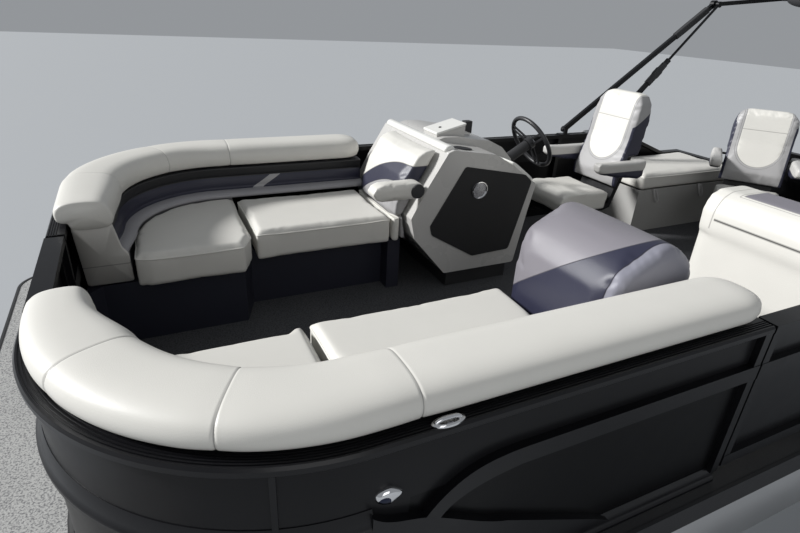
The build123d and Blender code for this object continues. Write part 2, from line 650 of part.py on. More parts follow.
SEAT_SHAPE = [(-170, 311), (220, 311), (240, 380), (225, 425), (160, 438), (-180, 430)]
BACK_SHAPE = [(-200, 438), (-222, 438), (-268, 560), (-285, 648), (-370, 650), (-400, 880),
              (-405, 1020), (-388, 1052), (-330, 1055), (-300, 1020), (-255, 760), (-190, 520)]
BACK_FACE = [(-205, 430), (205, 430), (205, 900), (190, 985), (150, 1040), (90, 1060),
             (-90, 1060), (-150, 1040), (-190, 985), (-205, 900)]
ARM_SHAPE = [(-355, 540), (-365, 600), (-365, 640), (-350, 650), (30, 650), (45, 635), (45, 600),
             (15, 575), (-120, 540), (-320, 522)]


def back_cushion(top):
    """A chair's back cushion, with the part above its frame drawn to the chair's own top."""
    low = 650
    share = (top - low) / (BACK_TOPS["captain"] - low)

    def drawn(points):
        return [(run, low + share * (up - low) if up > low else up) for run, up in points]
    return slab_xz(drawn(BACK_SHAPE), -205, 205) & slab_yz(drawn(BACK_FACE), -500, 0)


def chair_armrest(side):
    """An armrest in its folded-down place, with the bore that turns on the frame's pin."""
    along, up = ARM_PIN
    arm = slab_xz(ARM_SHAPE, side * 214, side * 274)
    return arm - rod((along, side * 200, up), (along, side * 263, up), 8 + PIN_PLAY)


pedestals = []
for name, (station, y, turn) in CHAIR_SPOTS.items():
    place = Pos(X(station), y, Z(0)) * Rot(0, 0, turn)
    foot = place * Cylinder(150, 14, align=UP_FROM)
    pedestals.append(foot + place * Cylinder(37, 280, align=UP_FROM))
    PIECES[f"{name}_chair_frame"] = place * chair_frame()
    PIECES[f"{name}_seat_cushion"] = place * slab_xz(SEAT_SHAPE, -205, 205, 14)
    PIECES[f"{name}_back_cushion"] = place * back_cushion(BACK_TOPS[name])
    for label, side in (("port", 1), ("starboard", -1)):
        PIECES[f"{name}_armrest_{label}"] = place * chair_armrest(side)
PIECES["chair_pedestals"] = Compound(children=pedestals)

# The stern lounges: hollow bases with hinged cushions, and the port one's forward backrest

LOUNGE_AFT = CABIN_END - RAIL_W - 12


def lounge_base(side):
    """A lounge's hollow base, open at the top under its cushion."""
    aft, fore, inboard = X(LOUNGE_AFT), X(LOUNGE_FORE[side]), LOUNGE_IN[side] + 20
    outer = block((aft, fore), (inboard, INNER), (Z(0), Z(LOUNGE_LOW - 2)))
    hollow = block((aft + 15, fore - 15), (inboard + 15, INNER - 15), (Z(12), Z(LOUNGE_LOW)))
    return to_side(outer - hollow, side)


for side in ("port", "starboard"):
    cushion = block((X(LOUNGE_AFT), X(LOUNGE_FORE[side])), (LOUNGE_IN[side], INNER - 10),
                    (Z(LOUNGE_LOW), Z(SEAT_TOP)))
    PIECES[f"lounge_cushion_{side}"] = to_side(cushion, side)
PIECES["lounge_bases"] = Compound(children=[lounge_base("port"), lounge_base("starboard")])
PIECES["lounge_backrest"] = slab_xz(
    side_view([(2690, 0), (2690, 560), (2680, 600), (2684, 700), (2710, 755), (2770, 784), (2940, 784),
               (2994, 750), (3012, 690), (3010, 600), (2990, 560), (2990, 0)]), REST_IN_Y, INNER)

# The folding top, stowed: two arms on each side with the bows and the boot beyond their knuckle


def top_bow(half):
    """The square bow across the arms' ends, as long as twice the given half length."""
    x, z = X(BOW_END[0]), Z(BOW_END[1])
    return bar((x, -half, z), (x, half, z), 30, 30)


def bimini_frame():
    """The two main arms with their knuckles and feet, and the bow that joins them aft."""
    pieces = []
    for y in (-ARM_Y, ARM_Y):
        foot, knee, end = [(X(station), y, Z(up)) for station, up in ((FOOT_A, FOOT_UP), KNUCKLE, BOW_END)]
        pieces += [bar(foot, knee, 36, 24), bar(knee, end, 30, 22)]
        pieces.append(rod((knee[0], y - 17, knee[2]), (knee[0], y + 17, knee[2]), 30))
        pieces.append(rod((foot[0], y - 14, foot[2]), (foot[0], y + 14, foot[2]), 22))
    pieces.append(top_bow(ARM_Y + 11))
    bores = [rod((X(FOOT_A), y - 30, Z(FOOT_UP)), (X(FOOT_A), y + 30, Z(FOOT_UP)), 8 + PIN_PLAY)
             for y in (-ARM_Y, ARM_Y)]
    return joined(pieces) - bores


STRUT_Y = ARM_Y - 45
strut_foot = Vector(X(FOOT_B), 0, Z(FOOT_UP))
strut_knee = Vector(X(KNUCKLE[0]), 0, Z(KNUCKLE[1]))
strut_way = (strut_knee - strut_foot).normalized()
strut_length = (strut_knee - strut_foot).length


def on_strut(distance, y):
    """A point on a strut at a distance from its foot's pin."""
    spot = strut_foot + strut_way * distance
    return (spot.X, y, spot.Z)


def strut_tube(y):
    """A strut's lower tube with its eye on the foot's pin."""
    foot = (strut_foot.X, y, strut_foot.Z)
    barrel = bar(foot, on_strut(720, y), 30, 28)
    eye = rod((foot[0], y - 14, foot[2]), (foot[0], y + 14, foot[2]), 20)
    pin_bore = rod((foot[0], y - 20, foot[2]), (foot[0], y + 20, foot[2]), 8 + PIN_PLAY)
    return barrel + eye - pin_bore - rod(on_strut(200, y), on_strut(730, y), 10 + PIN_PLAY)


def strut_rod(y):
    """A strut's sliding rod, which ends beside the knuckle."""
    knee = on_strut(strut_length, y)
    return rod(on_strut(330, y), knee, 10) + rod((knee[0], y - 12, knee[2]), (knee[0], y + 12, knee[2]), 22)


PIECES["bimini_frame"] = bimini_frame()
PIECES["bimini_strut_tubes"] = Compound(children=[strut_tube(STRUT_Y), strut_tube(-STRUT_Y)])
PIECES["bimini_strut_rods"] = Compound(children=[strut_rod(STRUT_Y), strut_rod(-STRUT_Y)])
boot = rod((X(BOW_END[0]), -ARM_Y + 60, Z(BOW_END[1])), (X(BOW_END[0]), ARM_Y - 60, Z(BOW_END[1])), 70)
PIECES["bimini_boot"] = boot - top_bow(ARM_Y)


def bimini_feet():
    """The four brackets on the top rail, each a base with a cheek and the pin of its foot."""
    feet = []
    for station, pin_y in ((FOOT_A, ARM_Y), (FOOT_B, STRUT_Y)):
        cheek_y = pin_y + 15 if pin_y == STRUT_Y else pin_y - 27
        foot_x, foot_z = (X(station) - 40, X(station) + 40), (Z(RAIL_TOP), Z(RAIL_TOP + 7))
        base = block(foot_x, (STRUT_Y + 30, FENCE_HALF - 14), foot_z)
        base += block(foot_x, (cheek_y, STRUT_Y + 40), foot_z)
        cheek = block((X(station) - 16, X(station) + 16), (cheek_y, cheek_y + 12),
                      (Z(RAIL_TOP), Z(FOOT_UP + 14)))
        low, high = min(pin_y - 12, cheek_y), max(pin_y + 12, cheek_y + 12)
        pin = rod((X(station), low, Z(FOOT_UP)), (X(station), high, Z(FOOT_UP)), 8)
        feet.append(base + cheek + pin)
    return feet


PIECES["bimini_feet"] = Compound(children=[
    foot for one in bimini_feet() for foot in (one, starboard(one))])

# The outboard engine, drawn running and then tilted up about its tilt tube

TRANSOM_X = X(STERN_END)
TILT_AXIS = (TRANSOM_X + 20, 0, 765)
STEER_X = TRANSOM_X - 140
TILT_R = 22
PROP_X = STEER_X - 345
PROP_Z = -115


def tilted(solid):
    """A solid drawn with the engine down, in its tilted place."""
    back = Pos(-TILT_AXIS[0], -TILT_AXIS[1], -TILT_AXIS[2])
    return Pos(*TILT_AXIS) * Rot(0, TILT_UP, 0) * back * solid


def engine_bracket():
    """The clamp bracket: two cheeks over the transom, tied below, round the tilt tube."""
    cheeks = []
    for y0, y1 in ((-165, -135), (135, 165)):
        shape = [(-1, 702), (-1, 420), (-40, 420), (-60, 690), (-20, 780), (50, 780), (50, 702)]
        cheeks.append(slab_xz([(TRANSOM_X + run, z) for run, z in shape], y0, y1))
    tie = block((TRANSOM_X - 30, TRANSOM_X - 1), (-165, 165), (425, 470))
    tube_bar = rod((TILT_AXIS[0], -175, TILT_AXIS[2]), (TILT_AXIS[0], 175, TILT_AXIS[2]), TILT_R)
    return joined([*cheeks, tie, tube_bar])


def engine_swivel():
    """The swivel bracket: a sleeve on the tilt tube and the upright tube that the engine steers on."""
    sleeve = rod((TILT_AXIS[0], -130, TILT_AXIS[2]), (TILT_AXIS[0], 130, TILT_AXIS[2]), TILT_R + 14)
    arm = block((STEER_X, TILT_AXIS[0]), (-110, 110), (735, 790))
    upright = Pos(STEER_X, 0, 470) * Cylinder(48, 320, align=UP_FROM)
    bore = rod((TILT_AXIS[0], -140, TILT_AXIS[2]), (TILT_AXIS[0], 140, TILT_AXIS[2]), TILT_R + PIN_PLAY)
    return sleeve + arm + upright - bore


def engine_leg():
    """The midsection, the plate above the propeller, the gearcase and the skeg."""
    aft_x, fore_x = STEER_X - 250, STEER_X - 60
    column = slab_xz([(aft_x, 815), (fore_x, 815), (fore_x, 420), (fore_x - 20, 80),
                      (aft_x + 30, 80), (aft_x, 420)], -75, 75, 20)
    yokes = [block((STEER_X - 90, STEER_X + 45), (-60, 60), span) for span in ((792, 820), (430, 468))]
    plate = block((PROP_X - 60, STEER_X - 20), (-115, 115), (68, 80))
    gearcase = Pos(PROP_X + 35, 0, PROP_Z) * Rot(0, 90, 0) * Cylinder(52, 330, align=UP_FROM)
    nose = Pos(PROP_X + 365, 0, PROP_Z) * Sphere(52)
    blade = slab_xz([(PROP_X + 60, 75), (STEER_X - 60, 75), (STEER_X - 20, PROP_Z),
                     (PROP_X + 60, PROP_Z)], -28, 28)
    skeg = slab_xz([(PROP_X + 60, PROP_Z), (STEER_X - 30, PROP_Z), (PROP_X + 180, -275),
                    (PROP_X + 110, -275)], -9, 9)
    shaft = rod((PROP_X + 40, 0, PROP_Z), (PROP_X - 40, 0, PROP_Z), 14)
    return joined([column, *yokes, plate, gearcase, nose, blade, skeg, shaft])


def engine_cowl():
    """The cowl: a hollow hood over the powerhead with a raked top."""
    def hood(inset, low):
        shape = [(-400 + inset, low), (215 - inset, low), (235 - inset, 1080),
                 (170 - inset, 1330 - inset), (-180, 1400 - inset), (-380 + inset, 1290 - inset)]
        return slab_xz([(STEER_X + run, z) for run, z in shape], -210 + inset, 210 - inset)
    return hood(0, 822) - hood(8, 840)


def propeller():
    """A hub with three raked blades on the gearcase's shaft."""
    hub = Pos(PROP_X - 32, 0, PROP_Z) * Rot(0, 90, 0) * Cylinder(42, 62, align=UP_FROM)
    blades = []
    for turn in (0, 120, 240):
        blade = Pos(-20, 0, 98) * Rot(0, 0, 50) * Box(8, 110, 130)
        blades.append(Pos(PROP_X, 0, PROP_Z) * Rot(turn, 0, 0) * blade)
    bore = rod((PROP_X - 60, 0, PROP_Z), (PROP_X + 60, 0, PROP_Z), 14 + PIN_PLAY)
    return joined([hub, *blades]) - bore


PIECES["engine_bracket"] = engine_bracket()
PIECES["engine_swivel"] = tilted(engine_swivel())
PIECES["engine_leg"] = tilted(engine_leg())
PIECES["engine_cowl"] = tilted(engine_cowl())
PIECES["engine_block"] = tilted(block((STEER_X - 330, STEER_X + 130), (-150, 150), (850, 1250)))
PIECES["propeller"] = tilted(propeller())

# The boarding ladder, folded up in two sections on the port quarter

LADDER_Y = (700, 1000)
LADDER_PIN = (X(STERN_END + 28), Z(45))
LADDER_FOLD = 500


def ladder_section(y0, y1, x, z0, z1, rungs, radius=12):
    """Two side rails and the rungs between them, standing upright."""
    pieces = [rod((x, y, z0), (x, y, z1), radius) for y in (y0, y1)]
    for z in rungs:
        pieces.append(block((x - 25, x + 25), (y0, y1), (z - 9, z + 9)))
    return joined(pieces)


pin_x, pin_z = LADDER_PIN
upper_part = ladder_section(*LADDER_Y, pin_x, pin_z, pin_z + LADDER_FOLD, (pin_z + 130, pin_z + 330))
for y in LADDER_Y:
    upper_part += Pos(pin_x, y, pin_z) * Rot(90, 0, 0) * Cylinder(17, 26)
upper_part -= rod((pin_x, 600, pin_z), (pin_x, 1100, pin_z), 7 + PIN_PLAY)
fold_z = pin_z + LADDER_FOLD
for y, inward in zip(LADDER_Y, (1, -1)):
    upper_part += bar((pin_x, y + 5 * inward, fold_z - 30), (pin_x + 30, y + 5 * inward, fold_z), 20, 12)
    upper_part += rod((pin_x + 30, y - 1 * inward, fold_z), (pin_x + 30, y + 11 * inward, fold_z), 14)
    upper_part -= rod((pin_x + 30, y - 30, fold_z), (pin_x + 30, y + 30, fold_z), 5 + PIN_PLAY)
PIECES["ladder_upper"] = upper_part
bracket_parts = []
bracket_foot = X(STERN_END) + 90
cheek_shape = [(pin_x - 14, pin_z - 14), (pin_x - 14, pin_z + 14), (pin_x + 14, pin_z + 14),
               (bracket_foot, Z(20)), (bracket_foot, Z(3.2)), (pin_x + 14, Z(3.2)),
               (pin_x + 14, pin_z - 14)]
for y in LADDER_Y:
    for dy in (-23, 17):
        bracket_parts.append(slab_xz(cheek_shape, y + dy, y + dy + 6))
    bracket_parts.append(rod((pin_x, y - 23, pin_z), (pin_x, y + 23, pin_z), 7))
    bracket_parts.append(block((X(STERN_END) + 10, bracket_foot), (y - 23, y + 23), (Z(3.2), Z(9))))
PIECES["ladder_bracket"] = joined(bracket_parts)
lower_y = (LADDER_Y[0] + 32, LADDER_Y[1] - 32)
lower_x = pin_x + 60
lower_part = ladder_section(*lower_y, lower_x, fold_z - 440, fold_z - 6, (fold_z - 400, fold_z - 200))
hinge_x = pin_x + 30
for y, outward in zip(lower_y, (-1, 1)):
    lower_part += bar((lower_x, y, fold_z - 20), (hinge_x, y, fold_z), 16, 10)
    lower_part += rod((hinge_x, y - 5, fold_z), (hinge_x, y + 5, fold_z), 12)
    lower_part += rod((hinge_x, y, fold_z), (hinge_x, y + 30 * outward, fold_z), 5)
PIECES["ladder_lower"] = lower_part

# Chrome fittings on the fence: cleats on the rail and docking lights on the bow sides


def rail_fittings():
    """Four oval cleats on the top rail and two docking lights below its bow corners."""
    fittings = [Pos(X(station), FENCE_HALF - 17, Z(RAIL_TOP)) * extrude(Ellipse(42, 17), 7)
                for station in (877, 3560)]
    light = X(744)
    fittings.append(block((light - 32, light + 32), (FENCE_HALF - PANEL_IN, FENCE_HALF - 6),
                          (Z(450), Z(502))))
    return [piece for one in fittings for piece in (one, starboard(one))]


PIECES["rail_fittings"] = Compound(children=rail_fittings())

for name, shape in PIECES.items():
    solids = shape.solids()
    if any(not solid.is_valid for solid in solids):
        print("not valid:", name)
    export_step(Compound(children=list(solids)) if len(solids) > 1 else solids[0], f"parts/{name}.step")

whole = Compound(children=[solid for shape in PIECES.values() for solid in shape.solids()])
box = whole.bounding_box()
print("box", [round(value, 2) for value in (*box.min, *box.max)], "nodes", len(PIECES))
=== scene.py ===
"""The looks of a pontoon boat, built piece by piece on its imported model, in metres.

+X is the bow, +Y port and +Z up. A station is a distance aft of the fence's front face, and a
rise is a height above the deck's top.
"""
from math import cos, inf, pi, radians, sin

import bmesh
import bpy
import numpy as np
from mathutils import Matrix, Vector
from mathutils.bvhtree import BVHTree


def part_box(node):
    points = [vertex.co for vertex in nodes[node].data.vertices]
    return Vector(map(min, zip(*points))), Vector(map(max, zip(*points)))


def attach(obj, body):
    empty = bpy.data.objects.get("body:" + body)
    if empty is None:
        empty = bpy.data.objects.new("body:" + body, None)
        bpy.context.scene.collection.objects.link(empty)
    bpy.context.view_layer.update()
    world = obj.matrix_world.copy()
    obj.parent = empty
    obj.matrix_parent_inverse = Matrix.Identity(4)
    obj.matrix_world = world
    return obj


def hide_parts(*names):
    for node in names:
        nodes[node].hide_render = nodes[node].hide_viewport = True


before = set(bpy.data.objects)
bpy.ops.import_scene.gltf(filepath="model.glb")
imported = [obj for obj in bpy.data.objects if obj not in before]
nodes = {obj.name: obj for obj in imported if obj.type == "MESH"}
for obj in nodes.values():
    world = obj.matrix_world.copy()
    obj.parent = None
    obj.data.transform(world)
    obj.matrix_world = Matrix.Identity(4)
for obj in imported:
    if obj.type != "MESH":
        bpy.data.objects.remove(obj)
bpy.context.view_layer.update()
scene = bpy.context.scene
scene.view_settings.view_transform = "Standard"

FENCE_FRONT = 3.1707
DECK = 0.780
FENCE_HALF, CORNER = 1.250, 0.700
FLOOR_LEVEL = 0.390


def at(station, side, rise):
    """A point from its station, its place to port and its rise above the deck."""
    return (FENCE_FRONT - station, side, DECK + rise)


# ---- Where it is seen ----
# A plain pale floor lies part of the way up the tubes. The light is a soft studio: an even key from
# starboard ahead, a weak fill from port and a pale world. The camera stands over the port bow.

bpy.ops.mesh.primitive_plane_add(size=60, location=(0, 0, FLOOR_LEVEL))
floor = bpy.context.object
floor.name = "floor"
pale = bpy.data.materials.new("pale_floor")
pale.use_nodes = True
inputs = pale.node_tree.nodes["Principled BSDF"].inputs
inputs["Base Color"].default_value = (0.38, 0.395, 0.41, 1)
inputs["Roughness"].default_value = 0.9
floor.data.materials.append(pale)


def placed(name, data):
    """A new object in the scene."""
    thing = bpy.data.objects.new(name, data)
    scene.collection.objects.link(thing)
    return thing


def lamp(name, kind, place, aim, power):
    """A lamp of one kind at one point, turned towards another."""
    data = bpy.data.lights.new(name, kind)
    data.energy = power
    thing = placed(name, data)
    thing.location = place
    thing.rotation_euler = (Vector(aim) - Vector(place)).to_track_quat("-Z", "Y").to_euler()
    return data


lamp("key_sun", "SUN", (17.5, -8.6, 11.8), (0.5, 0, 1.0), 5.1).angle = radians(9)
lamp("fill_panel", "AREA", (3.0, 7.0, 4.0), (0.8, 0, 1.0), 75).size = 4.0

world = bpy.data.worlds.new("studio")
scene.world = world
world.use_nodes = True
inputs = world.node_tree.nodes["Background"].inputs
inputs["Color"].default_value = (0.86, 0.9, 0.95, 1)
inputs["Strength"].default_value = 0.34

camera = placed("camera", bpy.data.cameras.new("camera"))
scene.camera = camera
film, photo_width, focal_pixels = 36, 800, 535.33
camera.data.sensor_width = film
camera.data.lens = film * focal_pixels / photo_width
camera.location = (2.8111, 1.9863, 2.2211)
camera.rotation_euler = [radians(turn) for turn in (64.339, -2.893, 154.685)]


# ---- The pontoon tubes, the channels under the deck and the engine's pod ----
# Three long tubes of rolled sheet with welded nose cones, and the channels and pod that join them.
# They are bare aluminium that has dulled: brushed along its length, with stains low down.


def math_node(operation, swapped=False):
    """A method that joins a wire and a second value in one Math node."""
    def join(wire, other=0.0):
        first, second = (other, wire) if swapped else (wire, other)
        return wire.finish.node("ShaderNodeMath", {0: first, 1: second}, operation=operation)
    return join


class Wire:
    """A shader socket that takes part in arithmetic. Each operator adds one Math node."""

    def __init__(self, finish, socket):
        self.finish, self.socket = finish, socket

    __add__, __radd__ = math_node("ADD"), math_node("ADD", swapped=True)
    __sub__, __rsub__ = math_node("SUBTRACT"), math_node("SUBTRACT", swapped=True)
    __mul__, __rmul__ = math_node("MULTIPLY"), math_node("MULTIPLY", swapped=True)
    __gt__, __lt__ = math_node("GREATER_THAN"), math_node("LESS_THAN")
    __pow__, __abs__ = math_node("POWER"), math_node("ABSOLUTE")

    def clamped(self):
        return self.finish.node("ShaderNodeClamp", {"Value": self})


class Finish:
    """A material whose nodes are added by one method, node(), around one Principled shader."""

    def __init__(self, name, colour, roughness, metallic=0.0, coat=0.0, coat_roughness=0.1):
        self.material = bpy.data.materials.new(name)
        self.material.use_nodes = True
        self.tree = self.material.node_tree
        self.shader = self.tree.nodes["Principled BSDF"]
        self.put("Base Color", (*colour, 1))
        self.put("Roughness", roughness)
        self.put("Metallic", metallic)
        self.put("Coat Weight", coat)
        self.put("Coat Roughness", coat_roughness)
        self.place = self.node("ShaderNodeTexCoord", {}, "Object")

    def plug(self, socket, value):
        if isinstance(value, Wire):
            self.tree.links.new(value.socket, socket)
        else:
            socket.default_value = value

    def put(self, name, value):
        self.plug(self.shader.inputs[name], value)

    def node(self, kind, inputs, out=0, **settings):
        """Adds a node with its settings and inputs, and gives one of its outputs."""
        made = self.tree.nodes.new(kind)
        for key, value in settings.items():
            setattr(made, key, value)
        for key, value in inputs.items():
            self.plug(made.inputs[key], value)
        return Wire(self, made.outputs[out])

    def axis(self, letter, where=None):
        """One coordinate of the object's own space, in metres, or of another vector."""
        return self.node("ShaderNodeSeparateXYZ", {0: where or self.place}, letter.upper())

    def noise(self, scale, detail=3.0, where=None):
        inputs = {"Vector": where or self.place, "Scale": scale, "Detail": detail}
        return self.node("ShaderNodeTexNoise", inputs)

    def cells(self, scale):
        return self.node("ShaderNodeTexVoronoi", {"Vector": self.place, "Scale": scale})

    def weave(self, directions, scale, distortion, detail_scale=1.0):
        """Two crossed waves, as in woven threads."""
        inputs = {"Vector": self.place, "Scale": scale, "Distortion": distortion,
                  "Detail Scale": detail_scale}
        first, second = [self.node("ShaderNodeTexWave", inputs, bands_direction=way) for way in directions]
        return first * second

    def mix(self, mask, first, second):
        """One colour where the mask is 0 and another where it is 1."""
        first, second = [c if isinstance(c, Wire) else (*c, 1) for c in (first, second)]
        return self.node("ShaderNodeMix", {0: mask, 6: first, 7: second}, 2, data_type="RGBA")

    def paint(self, mask, first, second):
        """A base colour mixed from two."""
        self.put("Base Color", self.mix(mask, first, second))

    def tone(self):
        """What feeds the base colour now, so that more can be mixed over it."""
        return Wire(self, self.shader.inputs["Base Color"].links[0].from_socket)

    def bump(self, height, distance, strength):
        inputs = {"Height": height, "Distance": distance, "Strength": strength}
        self.put("Normal", self.node("ShaderNodeBump", inputs))


def dress(mesh, *finishes):
    """Gives a mesh its finishes in place of any others."""
    mesh.materials.clear()
    for finish in finishes:
        mesh.materials.append(finish.material)


def bare_aluminium():
    """Brushed along the hull, with cloudy dull stains that gather low down."""
    finish = Finish("bare_aluminium", (0.5, 0.5, 0.5), 0.42, metallic=0.9)
    stretch = {0: finish.place, 1: (6, 260, 260)}
    brushed = finish.noise(1.0, 4, finish.node("ShaderNodeVectorMath", stretch, operation="MULTIPLY"))
    clouds = finish.noise(4.0, 5)
    low = (1 - (finish.axis("z") - 0.1) * 3.0).clamped()
    stain = (low * clouds * 1.3).clamped()
    finish.paint(stain, (0.56, 0.565, 0.57), (0.33, 0.33, 0.32))
    finish.put("Roughness", 0.3 + 0.25 * clouds + 0.12 * stain)
    finish.bump(brushed + 0.4 * clouds, 0.0006, 0.35)
    return finish


aluminium = bare_aluminium()
for name in ("pontoon_tubes", "cross_members", "motor_pod"):
    dress(nodes[name].data, aluminium)


# ---- The deck and its edge trim ----
# Plywood under woven vinyl, glued down: a light grey weave of loops with dark flecks ahead of the
# fence and a charcoal one inside it. A black trim of extruded plastic is screwed round the edge.


def woven_vinyl():
    """A fine square weave: two crossed waves make the loops, and noise gives each its own tone."""
    finish = Finish("woven_vinyl", (0.4, 0.4, 0.39), 0.8)
    flecks = finish.noise(160.0, 2)
    broad = finish.noise(3.0, 3)
    dark = ((flecks - 0.45) * 5.0).clamped()
    pale = finish.mix(dark, (0.47, 0.47, 0.455), (0.17, 0.17, 0.175))
    deep = finish.mix(dark, (0.075, 0.076, 0.082), (0.022, 0.022, 0.025))
    aft = finish.axis("x") < FENCE_FRONT - 0.03
    side = (abs(finish.axis("y")) > FENCE_HALF - 0.05) * (finish.axis("x") < FENCE_FRONT - 0.4)
    tone = finish.mix(side, finish.mix(aft, pale, deep), (0.012, 0.012, 0.013))
    finish.paint(broad * 0.3, tone, (0.12, 0.12, 0.12))
    finish.put("Roughness", 0.72 + 0.2 * flecks)
    finish.bump(finish.weave("XY", 90.0, 1.2, 2.0) + 0.5 * flecks, 0.0012, 0.5)
    return finish


def black_plastic():
    """Moulded black plastic with a fine pebble grain and a little dust."""
    finish = Finish("black_plastic", (0.02, 0.02, 0.022), 0.5)
    dust = finish.noise(6.0, 5)
    finish.paint(dust * 0.35, (0.014, 0.014, 0.016), (0.06, 0.06, 0.06))
    finish.put("Roughness", 0.42 + 0.2 * dust)
    finish.bump(finish.cells(700.0), 0.0003, 0.4)
    return finish


plastic = black_plastic()
dress(nodes["deck"].data, woven_vinyl())
dress(nodes["deck_edge_trim"].data, plastic)


# ---- The fence ----
# Ribbed aluminium rails, powder coated black and bent round the bow corners, with square posts and
# thin painted sheets behind them. The gates are leaves of the same rails and hang on pinned hinges.


def powder_coat():
    """Black powder coat: a faint orange peel, a soft sheen and scattered dust."""
    finish = Finish("powder_coat", (0.012, 0.012, 0.014), 0.34, coat=0.08, coat_roughness=0.2)
    finish.put("Specular IOR Level", 0.26)
    dust = finish.noise(9.0, 5)
    finish.paint(dust * 0.3, (0.003, 0.003, 0.004), (0.012, 0.012, 0.014))
    finish.put("Roughness", 0.24 + 0.2 * dust)
    finish.bump(finish.noise(420.0, 2), 0.0002, 0.3)
    return finish


def charcoal_sheet():
    """Charcoal metallic paint between the upper rails, and gloss black below them."""
    finish = Finish("charcoal_sheet", (0.03, 0.03, 0.033), 0.3, coat=0.03, coat_roughness=0.06)
    finish.put("Specular IOR Level", 0.14)
    flakes = finish.cells(1800.0)
    aft = finish.axis("x") < FENCE_FRONT - 0.8
    low = (finish.axis("z") < DECK + 0.44) * aft
    paint = finish.mix(flakes * 0.8, (0.006, 0.006, 0.007), (0.012, 0.012, 0.013))
    finish.paint(low, paint, (0.0025, 0.0025, 0.003))
    finish.put("Roughness", 0.3 + 0.1 * finish.noise(12.0, 4))
    return finish


def merged(name):
    """A copy of a node's mesh with the corners of its loose triangles joined."""
    mesh = nodes[name].data.copy()
    if "custom_normal" in mesh.attributes:
        mesh.attributes.remove(mesh.attributes["custom_normal"])
    work = bmesh.new()
    work.from_mesh(mesh)
    bmesh.ops.remove_doubles(work, verts=work.verts, dist=0.00002)
    work.to_mesh(mesh)
    work.free()
    return mesh


def shade_smooth(mesh, sharp=180):
    """Smooth shading, broken at the edges that turn more than the sharp angle."""
    mesh.polygons.foreach_set("use_smooth", np.ones(len(mesh.polygons), bool))
    if sharp < 180:
        mesh.set_sharp_from_angle(angle=radians(sharp))


def smooth_copy(name, finish, body, sharp=30):
    """A node's mesh, merged and with its rounds shaded smooth. It stands for the node."""
    mesh = merged(name)
    piece = placed(name + "_finished", mesh)
    dress(mesh, finish)
    shade_smooth(mesh, sharp)
    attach(piece, body)
    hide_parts(name)
    return piece


coat = powder_coat()
sheet_paint = charcoal_sheet()
for part in ("port_bow", "port_aft", "starboard", "stern"):
    smooth_copy(f"fence_frame_{part}", coat, "boat")
for name in ("side_gate", "bow_gate", "stern_gate"):
    smooth_copy(name, coat, name)
for part in ("port", "starboard", "stern"):
    smooth_copy(f"fence_panels_{part}", sheet_paint, "boat")


# ---- The couch backs ----
# A fat roll of foam under cream vinyl rides on the rail, sewn from panels with piped cross seams.
# Under it on the inboard side run a black band, a navy band and a lumbar roll, screwed to the fence.


def dimmed(colour, share):
    """A colour at a share of its light."""
    return tuple(channel * share for channel in colour)


def marine_vinyl(name, colour, shade=0.82, roughness=0.42):
    """Vinyl with a fine leather grain: small cells crossed by noise, faint clouds of wear and dirt."""
    finish = Finish(name, colour, roughness)
    clouds = finish.noise(5.0, 4)
    grain = finish.cells(420.0)
    fine = finish.noise(1100.0, 2)
    finish.paint((clouds * 0.55).clamped(), colour, dimmed(colour, shade))
    finish.put("Roughness", roughness - 0.06 + 0.16 * clouds)
    finish.bump(grain + 0.5 * fine, 0.0004, 0.45)
    return finish


CREAM, NAVY, THREAD = (0.66, 0.645, 0.60), (0.020, 0.021, 0.042), (0.10, 0.10, 0.10)
cream = marine_vinyl("cream_vinyl", CREAM)
grey_vinyl = marine_vinyl("grey_vinyl", (0.30, 0.295, 0.31))
black_vinyl = marine_vinyl("black_vinyl", (0.012, 0.012, 0.014), 0.7)


def softened(points, rounds=2, closed=True):
    """The outline with rounded corners: in each round, its sides are cut a quarter from both ends."""
    points = np.asarray(points, float)
    for _ in range(rounds):
        ahead = np.roll(points, -1, axis=0)
        cut = np.stack([0.75 * points + 0.25 * ahead, 0.25 * points + 0.75 * ahead], axis=1)
        if closed:
            points = cut.reshape(-1, points.shape[1])
        else:
            points = np.concatenate([points[:1], cut[:-1].reshape(-1, points.shape[1]), points[-1:]])
    return points


def spaced(points, count, closed=True):
    """The same outline with points evenly spaced along its length."""
    loop = np.concatenate([points, points[:1]]) if closed else points
    run = np.concatenate([[0], np.cumsum(np.linalg.norm(np.diff(loop, axis=0), axis=1))])
    wanted = np.linspace(0, run[-1], count, endpoint=not closed)
    return np.stack([np.interp(wanted, run, loop[:, k]) for k in range(loop.shape[1])], axis=1)


